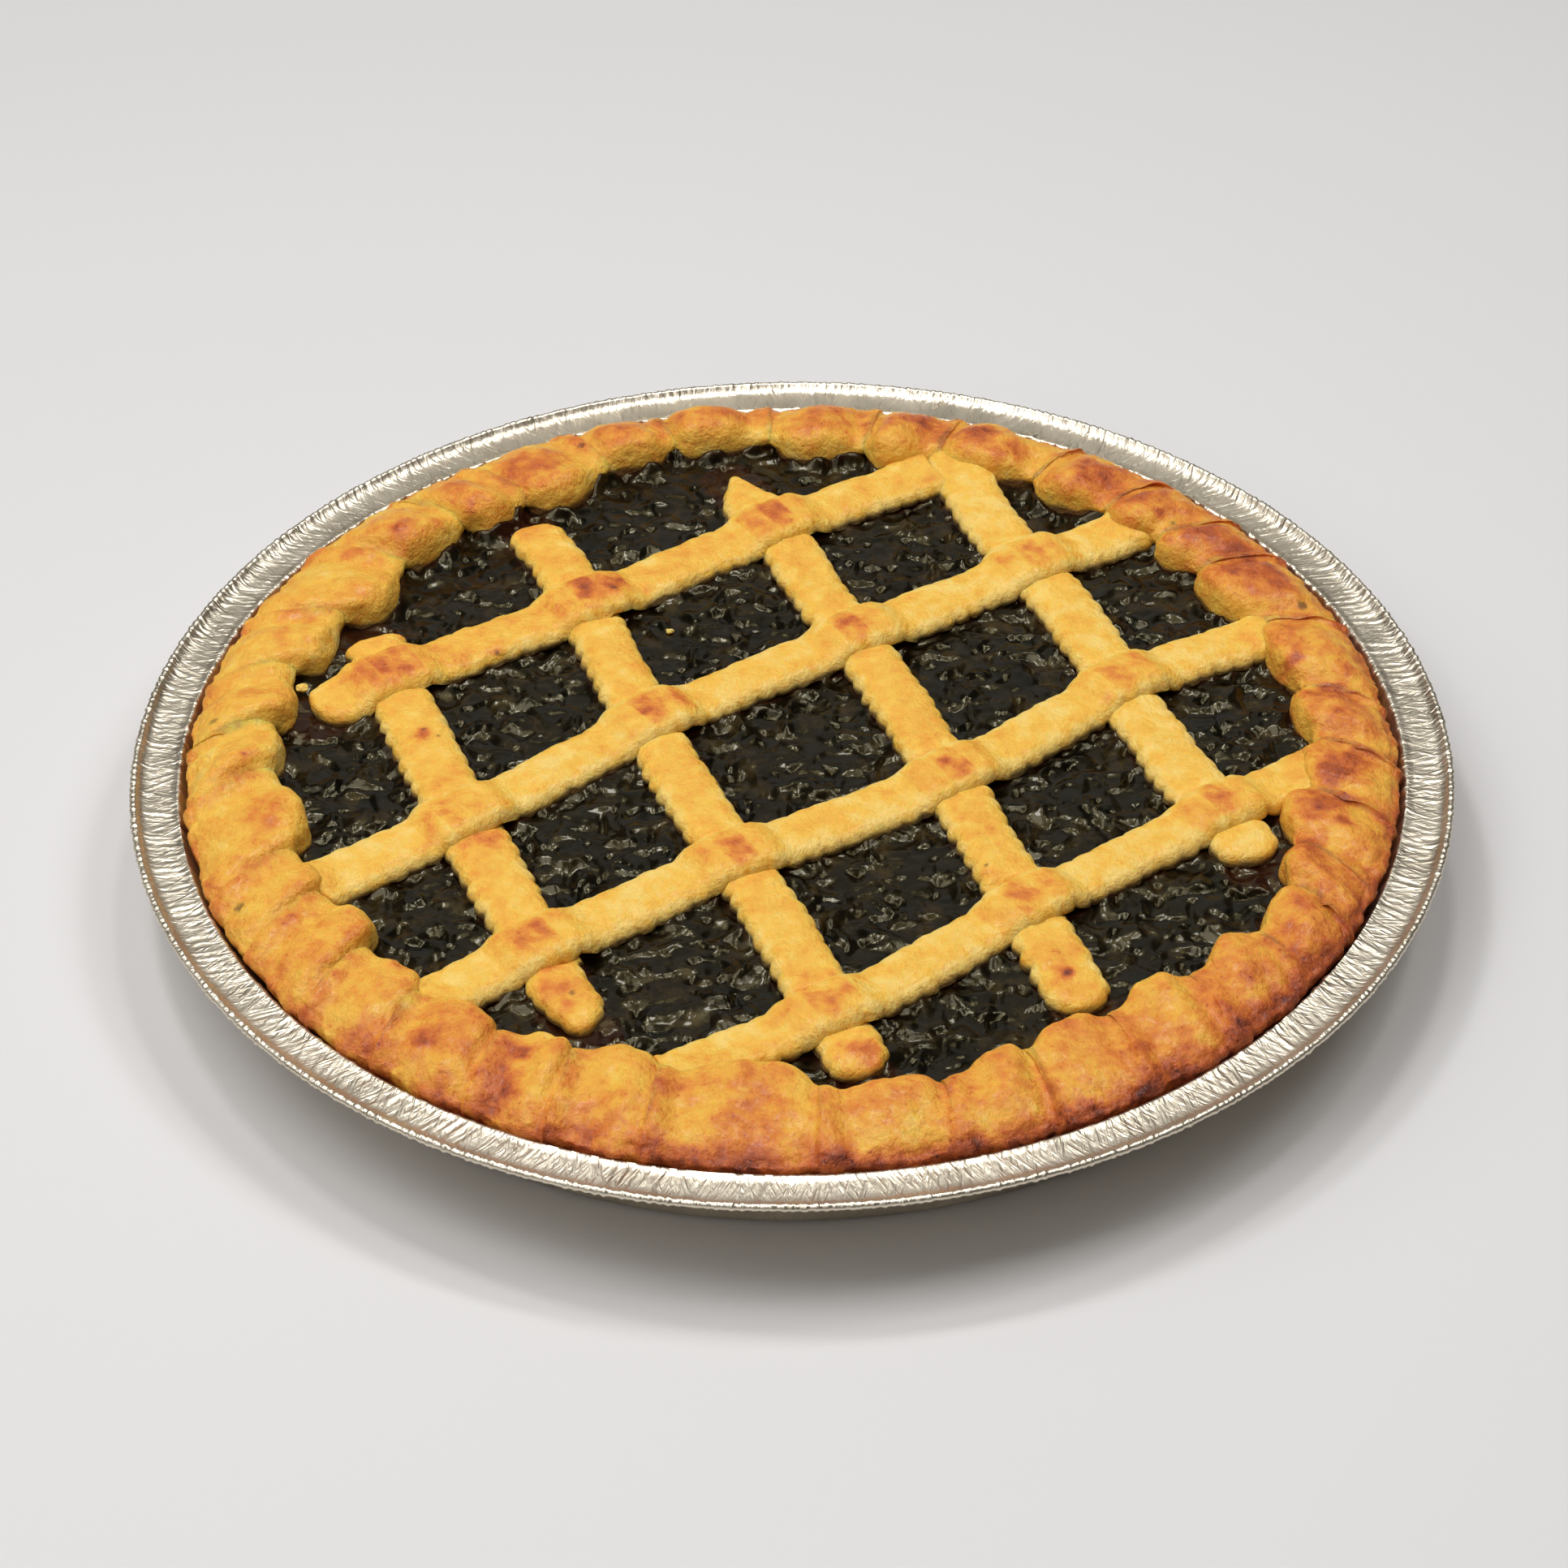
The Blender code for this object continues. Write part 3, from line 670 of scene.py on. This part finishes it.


# %% [markdown]
# Where a long strip crosses a cross strip it stands higher, nearer the heat, so each crossing has a
# brown hump. The tops are gold and the sides stay cream. The lowest edge of a side is darkened where it
# meets the jam, partly a real jam stain and partly painted shade.
#
# %% Strips: surface and browning
STRIP_SPOTS = (
    (-46.6, 55, 5, .30), (-40, 52.5, 4, .22), (-49, 44, 3, .12), (-89, 26.4, 8, .12), (-73, 31, 4, .1),
    (-64, 31.8, 1.6, .3), (-78.3, 2.5, 2.0, .4), (-62.1, -32, 4.5, .34), (-46.3, -80, 6, .26),
    (-44.5, -83.8, 2.4, .32), (-56.6, 79.3, 4, .24), (13.3, -98.9, 3.5, .42), (53.9, -76.6, 2.0, .5),
    (60.7, -87.2, 3, .2), (53.5, -69.7, 4, .14), (-66.3, -17.5, 6, .16), (-54.8, -66.7, 4.5, .16),
    (-15.3, -39.6, 5, .12), (32.5, -7, 5, .08), (73.9, 20.5, 6, .14), (52.4, 63, 6, .14),
    (57, 72, 5, .12), (91.8, -23, 7, .12), (98.6, 31.8, 5, .1), (37.3, 49.4, 4, .08),
)
STRIP_SPECKS = ((-38.9, 51.8, 1.0), (-64.1, 31.8, 0.6), (-78.3, 3.9, 0.6), (-75.1, 1.8, 0.5),
                (53.9, -76.6, 0.9), (-44, -81, 0.8), (39.4, -43.1, 0.6))


def bake_strip(piece, route, lies_over):
    """Give a strip its swellings, its crumb and its browning."""
    where = points_of(piece)
    facing = normals_of(piece)
    gap = np.linalg.norm(where[:, None, :2] - route.line[None, ::3, :], axis=2)
    nearest = gap.argmin(axis=1)
    off_line = gap[np.arange(len(where)), nearest]
    distance = route.reached[::3][nearest]
    upward = ease(facing[:, 2], -0.2, 0.5)
    low = where[:, 2].min()
    push = grain(where, 7.0, 61) * 0.34 + grain(where, 3.2, 62) * 0.2 * upward
    push += grain(where, 1.3, 63) * 0.07 + grain(where, 0.8, 64) * 0.035
    push *= ease(where[:, 2], low + 0.2, low + 1.2)
    where += facing * push[:, None]
    set_points(piece, where)
    draw = random.Random(sum(map(ord, route.name)))
    hump = np.zeros(len(where))
    for crossing in route.crossings:
        shifted = distance - crossing + draw.uniform(-1.5, 1.5)
        patch = lump(shifted * (1 + 0.3 * grain(where, 4.0, 69)), 7.2) * lump(off_line, 5.8)
        hump = np.maximum(hump, patch * draw.uniform(0.38, 0.50))
    bake = 0.25 + 0.13 * grain(where, 9.0, 65) + 0.11 * grain(where, 3.5, 66)
    bake += 0.06 * grain(where, 1.6, 58)
    bake += (1.0 if lies_over else 0.25) * hump * (1 + 0.5 * grain(where, 3.0, 67))
    bake -= 0.16 * ease(off_line, route.width / 2 - 2.2, route.width / 2 - 0.2) + 0.10 * (1 - upward)
    bake += spot_browning(where, STRIP_SPOTS) * ease(facing[:, 2], 0.0, 0.6)
    bake += 0.14 * ease(-inside_rim(where)[0], -7.0, 1.0)
    paint(piece, "bake", np.clip(bake, 0, 0.78))
    paint(piece, "burnt", specks(where, STRIP_SPECKS))
    # Painted shade: the strip's foot is darkened where it meets the jam, partly a real jam stain and
    # partly painted shade.
    stain_and_shade_top = JAM_LEVEL + 1.5 + 0.6 * grain(where, 4.0, 68)
    paint(piece, "stain", 1 - ease(where[:, 2], stain_and_shade_top, stain_and_shade_top + 1.0))
    paint(piece, "coarse", np.zeros(len(where)))


strips = []
for route in long_routes + cross_routes:
    over = route in long_routes
    strip = roll_strip(route, over, ODD_ENDS.get(route.name, ()))
    bake_strip(strip, route, over)
    close_up(strip, 60)
    strips.append(strip)

# %% [markdown]
# The jam was boiled thick, and its skin is wrinkled and pitted. A fine grid is
# trimmed to the shell's inner edge, its cut edge is drawn down and closed, and
# then its top is raised in lumps and wrinkles.
#
# %% Jam: trim a grid to the shell
JAM_CELL = 0.64
JAM_REACH = 119.0
JAM_FLOOR = 9.8

deselect_all()
cells = int(2 * JAM_REACH / JAM_CELL)
bpy.ops.mesh.primitive_grid_add(x_subdivisions=cells, y_subdivisions=cells, size=2 * JAM_REACH * MM,
                                location=(0, 0, JAM_LEVEL * MM))
bpy.ops.object.transform_apply(location=True, rotation=True, scale=True)
jam = bpy.context.object
jam.name = jam.data.name = "jam_filling_cooked"
outside_points = inside_rim(points_of(jam))[0] < -0.9
faces = np.empty(len(jam.data.polygons) * 4, np.int32)
jam.data.polygons.foreach_get("vertices", faces)
drop = outside_points[faces.reshape(-1, 4)].any(axis=1)
bpy.ops.object.mode_set(mode="EDIT")
bpy.ops.mesh.select_mode(type="FACE")
bpy.ops.mesh.select_all(action="DESELECT")
bpy.ops.object.mode_set(mode="OBJECT")
jam.data.polygons.foreach_set("select", drop)
bpy.ops.object.mode_set(mode="EDIT")
bpy.ops.mesh.delete(type="FACE")
bpy.ops.mesh.select_all(action="SELECT")
bpy.ops.mesh.region_to_loop()
bpy.ops.mesh.extrude_edges_move(TRANSFORM_OT_translate={"value": (0, 0, -(JAM_LEVEL - JAM_FLOOR) * MM)})
bpy.ops.mesh.edge_face_add()
bpy.ops.mesh.select_all(action="SELECT")
bpy.ops.mesh.normals_make_consistent(inside=False)
bpy.ops.object.mode_set(mode="OBJECT")
print("jam:", len(jam.data.vertices), "points")

# %% [markdown]
# Wrinkles are ridges where a random field changes sign, bent by a second field
# so that they wander. Pits are the lowest parts of a third. Near a strip or the
# crust the jam turns up in a thin rim.
#
# %% Jam: lumps, wrinkles and the climb up the crust
where = points_of(jam)
surface = where[:, 2] > JAM_LEVEL - 1
inside, angle = inside_rim(where)
to_strip = np.full(len(where), 99.0)
for route in long_routes + cross_routes:
    line = route.line[::4]
    for part in np.array_split(np.arange(len(where)), 12):
        gap = np.linalg.norm(where[part, None, :2] - line[None], axis=2).min(axis=1)
        to_strip[part] = np.minimum(to_strip[part], gap - route.width / 2)
bend = np.column_stack([grain(where, 5.0, 71), grain(where, 5.0, 72), np.zeros(len(where))]) * 2.4
wander = where + bend
wrinkle = 1 - np.abs(grain(wander, 3.2, 73)) * 2.4
bits = ease(grain(wander, 2.9, 70), 0.15, 0.6)
pits = ease(-grain(wander, 2.6, 75), 0.35, 0.75)
lively = ease(grain(where, 12.0, 76), -0.5, 0.4)
rough = 0.20 * wrinkle + 0.55 * bits + 0.95 * grain(wander, 5.0, 69)
rough = rough * (0.60 + 0.65 * lively) - 0.95 * pits
level = 0.35 + 0.35 * grain(where, 16.0, 78) + 0.40 * grain(where, 6.5, 79)
climb = (0.4 + 1.9 * ease(np.sin(np.radians(angle)), 0.2, 0.9)) * lump(np.maximum(inside, 0), 1.9)
climb *= 0.25 + 1.1 * ease(grain(where, 6.0, 80), -0.5, 0.5)
meniscus = 0.45 * lump(np.maximum(to_strip, 0), 0.9)
where[:, 2] += np.where(surface, level + rough + climb + meniscus, 0.0)
set_points(jam, where)
paint(jam, "edge", np.maximum(lump(np.maximum(inside, 0), 0.8), lump(np.maximum(to_strip, 0), 0.7)))
paint(jam, "hollow", pits)
close_up(jam, 180)

# %% [markdown]
# Two crumbs lie loose: a pale one on the jam, and a larger one between a strip
# end and the rim. Each is a small ball pressed out of round.
#
# %% Crumbs
def add_crumb(name, x, y, z, size, seed):
    """A crumb of pastry at a place, in millimetres."""
    deselect_all()
    bpy.ops.mesh.primitive_ico_sphere_add(subdivisions=4, radius=size * MM)
    crumb = bpy.context.object
    crumb.name = crumb.data.name = name
    where = points_of(crumb)
    bulge = 1 + 0.35 * grain(where, size * 1.1, seed) + 0.15 * grain(where, size * 0.4, seed + 1)
    where *= bulge[:, None]
    where *= (1.25, 0.85, 0.7)
    set_points(crumb, where + (x, y, z))
    paint(crumb, "bake", np.full(len(where), 0.05))
    close_up(crumb, 60)
    return crumb


crumbs = [add_crumb("crumb_on_jam", -26.5, 42.5, 22.5, 0.7, 81),
          add_crumb("crumb_by_rim", -105.8, 21.0, 24.3, 1.1, 84)]

# %% [markdown]
# One recipe colours all the pastry. It breaks the stored browning up with
# mottling and freckles, and turns it into a colour, from cream to dark red brown.
# The node group is built once, and crust and strips use it with their own values.
#
# %% Materials: browning of pastry
def add(tree, kind, settings=(), **values):
    """A node with its settings, and values for its input sockets."""
    made = tree.nodes.new(kind)
    for name, value in dict(settings).items():
        setattr(made, name, value)
    for name, value in values.items():
        made.inputs[name.replace("_", " ")].default_value = value
    return made


def link(tree, output, target):
    """Join one socket to another."""
    tree.links.new(output, target)


def noise(tree, place, scale, detail, roughness=0.5):
    """Soft noise over a place socket."""
    made = add(tree, "ShaderNodeTexNoise", Scale=scale, Detail=detail, Roughness=roughness)
    link(tree, place, made.inputs["Vector"])
    return made.outputs["Fac"]


def blend(tree, share, under, over):
    """A socket's colour with another colour mixed over it by a share."""
    made = add(tree, "ShaderNodeMix", {"data_type": "RGBA"})
    link(tree, share, made.inputs[0])
    link(tree, under, made.inputs[6])
    made.inputs[7].default_value = (*over, 1.0)
    return made.outputs[2]


def bump(tree, height, strength, depth):
    """Raise the material's surface by a height socket."""
    made = add(tree, "ShaderNodeBump", Strength=strength, Distance=depth)
    link(tree, height, made.inputs["Height"])
    link(tree, made.outputs["Normal"], tree.nodes["Principled BSDF"].inputs["Normal"])


def new_finish(name, **constants):
    """A new material with constant values, its node tree and its Principled BSDF."""
    made = bpy.data.materials.new(name)
    made.use_nodes = True
    shader = made.node_tree.nodes["Principled BSDF"]
    for socket, value in constants.items():
        shader.inputs[socket.replace("_", " ")].default_value = value
    return made, made.node_tree, shader


def math_node(tree, operation, first, second, clamp=False):
    """A Math node whose inputs are sockets or numbers."""
    made = add(tree, "ShaderNodeMath", {"operation": operation, "use_clamp": clamp})
    for socket, value in zip(made.inputs, (first, second)):
        if isinstance(value, (int, float)):
            socket.default_value = value
        else:
            link(tree, value, socket)
    return made.outputs[0]


def times(tree, first, second):
    """Two sockets or numbers, multiplied."""
    return math_node(tree, "MULTIPLY", first, second)


def plus(tree, first, second, clamp=False):
    """Two sockets or numbers, added."""
    return math_node(tree, "ADD", first, second, clamp)


def ramp(tree, factor, stops):
    """A colour ramp through (place, colour) stops."""
    made = add(tree, "ShaderNodeValToRGB")
    band = made.color_ramp
    while len(band.elements) < len(stops):
        band.elements.new(0.5)
    for element, (place, color) in zip(band.elements, stops):
        element.position = place
        element.color = (*color, 1.0)
    link(tree, factor, made.inputs[0])
    return made.outputs[0]


NUMBER = "NodeSocketFloat"


def group_with(name, inputs, outputs):
    """An empty node group with named sockets, and its two end nodes."""
    group = bpy.data.node_groups.new(name, "ShaderNodeTree")
    for socket, kind, value in inputs:
        made = group.interface.new_socket(name=socket, in_out="INPUT", socket_type=kind)
        made.default_value = value
    for socket, kind in outputs:
        group.interface.new_socket(name=socket, in_out="OUTPUT", socket_type=kind)
    return group, group.nodes.new("NodeGroupInput"), group.nodes.new("NodeGroupOutput")


# The jam stain's colour, which on the strips' feet also paints shade.
JAM_STAIN_AND_SHADE = (0.045, 0.010, 0.006)
CHAR = (0.080, 0.022, 0.012)
PASTRY_COLORS = (
    (0.00, (0.87, 0.60, 0.155)),
    (0.20, (0.85, 0.500, 0.068)),
    (0.40, (0.81, 0.385, 0.046)),
    (0.56, (0.73, 0.245, 0.032)),
    (0.72, (0.56, 0.128, 0.022)),
    (0.87, (0.33, 0.062, 0.016)),
    (1.00, (0.085, 0.017, 0.010)),
)

browning, taken, given = group_with(
    "Pastry browning",
    (("Bake", NUMBER, 0.3), ("Mottling", NUMBER, 0.12),
     ("Freckles", NUMBER, 0.12)),
    (("Color", "NodeSocketColor"), ("Roughness", NUMBER)))
place = add(browning, "ShaderNodeTexCoord").outputs["Object"]
swing = math_node(browning, "SUBTRACT", noise(browning, place, 260.0, 5.0, 0.6), 0.5)
swing = times(browning, swing, taken.outputs["Mottling"])
swing = times(browning, swing, 2.4)
dots = math_node(browning, "SUBTRACT", noise(browning, place, 900.0, 3.0, 0.55), 0.60, clamp=True)
dots = times(browning, dots, taken.outputs["Freckles"])
dots = times(browning, dots, 8.0)
total = plus(browning, taken.outputs["Bake"], swing)
total = plus(browning, total, dots, clamp=True)
link(browning, ramp(browning, total, PASTRY_COLORS), given.inputs["Color"])
shine = times(browning, total, -0.28)
link(browning, plus(browning, shine, 0.60), given.inputs["Roughness"])
print("browning runs through", len(PASTRY_COLORS), "colours")

# %% [markdown]
# The crumb is too fine to model. A second group gives its height: soft grains,
# and pores that are deeper where the pastry is coarse.
#
# %% Materials: crumb of pastry
crumb_relief, taken, given = group_with(
    "Pastry crumb",
    (("Coarse", NUMBER, 0.0), ("Grain Scale", NUMBER, 900.0)),
    (("Height", NUMBER),))
place = add(crumb_relief, "ShaderNodeTexCoord").outputs["Object"]
grains = add(crumb_relief, "ShaderNodeTexNoise", Detail=4.0, Roughness=0.62)
pores = add(crumb_relief, "ShaderNodeTexVoronoi", Scale=1100.0)
link(crumb_relief, place, grains.inputs["Vector"])
link(crumb_relief, taken.outputs["Grain Scale"], grains.inputs["Scale"])
link(crumb_relief, place, pores.inputs["Vector"])
holes = math_node(crumb_relief, "LESS_THAN", pores.outputs["Distance"], 0.22)
depth = times(crumb_relief, taken.outputs["Coarse"], -0.7)
depth = plus(crumb_relief, depth, -0.12)
holes = times(crumb_relief, holes, depth)
link(crumb_relief, plus(crumb_relief, grains.outputs["Fac"], holes), given.inputs["Height"])


def stored(tree, name):
    """The output that reads a value stored on the piece's points."""
    return add(tree, "ShaderNodeAttribute", {"attribute_name": name}).outputs["Fac"]


def pastry_material(name, mottling, freckles, crumb_strength, grain_scale):
    """Baked pastry that reads its browning from the piece."""
    made, tree, shader = new_finish(
        name, Specular_IOR_Level=0.35, Coat_Weight=0.16, Coat_Roughness=0.22, Subsurface_Weight=0.45,
        Subsurface_Radius=(1.0, 0.40, 0.12), Subsurface_Scale=0.0025)
    color = add(tree, "ShaderNodeGroup", {"node_tree": browning}, Mottling=mottling, Freckles=freckles)
    link(tree, stored(tree, "bake"), color.inputs["Bake"])
    # Real jam stain, and on the strips' feet also painted shade.
    stained_and_shaded = blend(tree, times(tree, stored(tree, "stain"), 0.85),
                    color.outputs["Color"], JAM_STAIN_AND_SHADE)
    charred = blend(tree, times(tree, stored(tree, "burnt"), 0.7), stained_and_shaded, CHAR)
    link(tree, charred, shader.inputs["Base Color"])
    link(tree, color.outputs["Roughness"], shader.inputs["Roughness"])
    relief = add(tree, "ShaderNodeGroup", {"node_tree": crumb_relief}, Grain_Scale=grain_scale)
    link(tree, stored(tree, "coarse"), relief.inputs["Coarse"])
    bump(tree, relief.outputs["Height"], crumb_strength, 0.0012)
    print(name, "has", len(tree.nodes), "nodes")
    return made


crust_finish = pastry_material("baked rim", 0.30, 0.16, 0.85, 800.0)
strip_finish = pastry_material("baked strip", 0.32, 0.12, 0.70, 900.0)

# %% [markdown]
# The jam is almost black and glossy, but its skin is duller in patches, so its roughness wanders. Its
# duller patches are also coloured a lighter olive brown, partly the jam's own brown and partly a
# painted sheen. Where it lies thin, against pastry, it turns dark red.
#
# %% Materials: jam
JAM_BROWN_AND_SHEEN_COLORS = ((0.36, (0.001, 0.001, 0.0005)), (0.55, (0.005, 0.003, 0.001)),
              (0.72, (0.030, 0.017, 0.004)))
THIN_JAM = (0.040, 0.006, 0.003)

jam_finish, tree, shader = new_finish("dark jam", Specular_IOR_Level=0.26,
                                      Specular_Tint=(1.0, 0.84, 0.40, 1.0), Coat_Roughness=0.03)
place = add(tree, "ShaderNodeTexCoord").outputs["Object"]
patches = noise(tree, place, 170.0, 4.0, 0.6)
# Painted sheen: the duller patches turn lighter olive brown, partly the jam's own brown and partly a
# painted sheen.
thin = blend(tree, times(tree, stored(tree, "edge"), 0.35),
             ramp(tree, patches, JAM_BROWN_AND_SHEEN_COLORS), THIN_JAM)
link(tree, thin, shader.inputs["Base Color"])
dull = times(tree, patches, 0.42)
link(tree, plus(tree, dull, 0.02, clamp=True), shader.inputs["Roughness"])
wet = times(tree, stored(tree, "hollow"), -0.21)
link(tree, plus(tree, wet, 0.19, clamp=True), shader.inputs["Coat Weight"])
bump(tree, noise(tree, place, 620.0, 5.0, 0.65), 0.2, 0.0005)
print("dark jam has", len(tree.nodes), "nodes")

# %% [markdown]
# The foil's finest pleats are less than a millimetre apart, too fine for points.
# A group gives their height: noise that is stretched along the radius, once for
# each way that the pleats lean.
#
# %% Materials: hatch of the foil
HATCH_LEANS = (340.0, -420.0)

hatch, taken, given = group_with("Foil hatch", (("Pitch", NUMBER, 1.0),), (("Height", NUMBER),))
apart = add(hatch, "ShaderNodeSeparateXYZ")
link(hatch, add(hatch, "ShaderNodeTexCoord").outputs["Object"], apart.inputs[0])
x, y, z = apart.outputs
turn = math_node(hatch, "ARCTAN2", y, x)
reach = math_node(hatch, "SQRT", plus(hatch, times(hatch, x, x), times(hatch, y, y)), 0.0)
arc = math_node(hatch, "DIVIDE", times(hatch, turn, 138.0), taken.outputs["Pitch"])
heights = []
for lean in HATCH_LEANS:
    leaned = plus(hatch, arc, times(hatch, reach, lean))
    spot = add(hatch, "ShaderNodeCombineXYZ")
    link(hatch, leaned, spot.inputs[0])
    link(hatch, times(hatch, reach, 150.0), spot.inputs[1])
    link(hatch, times(hatch, z, 120.0), spot.inputs[2])
    heights.append(noise(hatch, spot.outputs[0], 1.0, 2.0))
link(hatch, math_node(hatch, "MAXIMUM", *heights), given.inputs["Height"])

# %% [markdown]
# The foil is bright aluminium, slightly warm, with a soft gloss that varies where
# it was rubbed.
#
# %% Materials: foil
FOIL_COLORS = ((0.3, (0.66, 0.58, 0.45)), (0.7, (0.80, 0.72, 0.58)))

foil_finish, tree, shader = new_finish("pan foil", Metallic=1.0)
place = add(tree, "ShaderNodeTexCoord").outputs["Object"]
rubbed = noise(tree, place, 90.0, 4.0)
link(tree, ramp(tree, rubbed, FOIL_COLORS), shader.inputs["Base Color"])
gloss = times(tree, rubbed, 0.16)
link(tree, plus(tree, gloss, 0.28), shader.inputs["Roughness"])
creased = times(tree, noise(tree, place, 500.0, 4.0, 0.6), 0.25)
hatched = add(tree, "ShaderNodeGroup", {"node_tree": hatch}).outputs["Height"]
bump(tree, plus(tree, hatched, creased), 0.85, 0.0005)
print("pan foil has", len(tree.nodes), "nodes")

# %% [markdown]
# Every piece gets its finish, rides on the one body of the pie, and stands for
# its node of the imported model.
#
# %% Dress the model
def dress(piece, finish, node=None):
    """Give a piece its material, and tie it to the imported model."""
    piece.data.materials.clear()
    piece.data.materials.append(finish)
    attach(piece, "root")
    if node:
        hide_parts(node)


dress(pan, foil_finish, "foil_pan")
dress(crust, crust_finish, "pastry_crust")
dress(jam, jam_finish, "jam_filling")
for strip in strips:
    dress(strip, strip_finish, strip.name.replace("_baked", ""))
for crumb in crumbs:
    dress(crumb, crust_finish)
print("dressed:", 3 + len(strips), "nodes and", len(crumbs), "crumbs")

# %% [markdown]
# The pie stands on a plain pale floor. The main light is over the left front,
# with weaker ones to the right, left and front. The foil and the jam mirror a
# wide dim one at the back, and three small ones, like windows, make the glints.
#
# %% Floor and lights
deselect_all()
bpy.ops.mesh.primitive_plane_add(size=8.0, location=(0, 0, -0.0002))
floor = bpy.context.object
floor.name = "floor"
FLOOR_COLOR = (0.66, 0.645, 0.64, 1.0)
floor.data.materials.append(new_finish("pale floor", Base_Color=FLOOR_COLOR, Roughness=0.6)[0])


SOFTBOXES = (
    ("overhead", (-0.42, -0.18, 1.20), 0.70, 7.4),
    ("right_top", (0.55, 0.0, 1.15), 0.45, 3.4),
    ("left_side", (-1.20, 0.10, 1.00), 0.80, 2.8),
    ("front_fill", (-0.60, -1.30, 1.30), 1.2, 5.4),
    ("back_glow", (0.0, 1.75, 1.35), 1.4, 2.4),
    ("left_window", (-0.32, 0.34, 1.20), 0.15, 2.8),
    ("back_window", (0.10, 0.44, 1.20), 0.14, 2.2),
    ("right_window", (0.46, 0.26, 1.15), 0.13, 1.4),
)

for name, place, size, power in SOFTBOXES:
    deselect_all()
    bpy.ops.object.light_add(type="AREA", location=place)
    lamp = bpy.context.object
    lamp.name = name
    lamp.data.size = size
    lamp.data.energy = power
    away = np.array(place) / np.linalg.norm(place)
    lamp.rotation_euler = (math.acos(away[2]), 0, math.atan2(away[0], -away[1]))
print(len(SOFTBOXES), "soft lights")
world = bpy.data.worlds.new("pale air")
world.use_nodes = True
air = world.node_tree.nodes["Background"]
air.inputs["Color"].default_value = (0.98, 0.97, 0.95, 1.0)
air.inputs["Strength"].default_value = 0.06
bpy.context.scene.world = world
bpy.context.scene.view_settings.view_transform = "Standard"

# %% [markdown]
# The camera looks down on the pie from the front, as the photograph does, from
# about 90 centimetres away. Its pitch, roll and focal length were fitted to the
# pan's rim in the photograph.
#
# %% Camera
PITCH = math.radians(38.815)
ROLL = math.radians(0.627)
SENSOR = 36.0
FOCAL_PIXELS = 5000
PHOTO_PIXELS = 1932
EYE_PLACE = (-1.67 * MM, -677.63 * MM, 558.06 * MM)

forward = Vector((0, math.cos(PITCH), -math.sin(PITCH)))
right = Vector((1, 0, 0))
down = forward.cross(right)
right_rolled = right * math.cos(ROLL) + down * math.sin(ROLL)
down_rolled = down * math.cos(ROLL) - right * math.sin(ROLL)
eye = bpy.data.cameras.new("front_view")
eye.sensor_width = SENSOR
eye.lens = FOCAL_PIXELS / PHOTO_PIXELS * SENSOR
camera = bpy.data.objects.new("front_view", eye)
bpy.context.scene.collection.objects.link(camera)
axes = Matrix((right_rolled, -down_rolled, -forward)).transposed()
camera.matrix_world = Matrix.Translation(EYE_PLACE) @ axes.to_4x4()
bpy.context.scene.camera = camera
print("the eye is", round(math.hypot(*EYE_PLACE) / MM), "mm from the pie's foot")
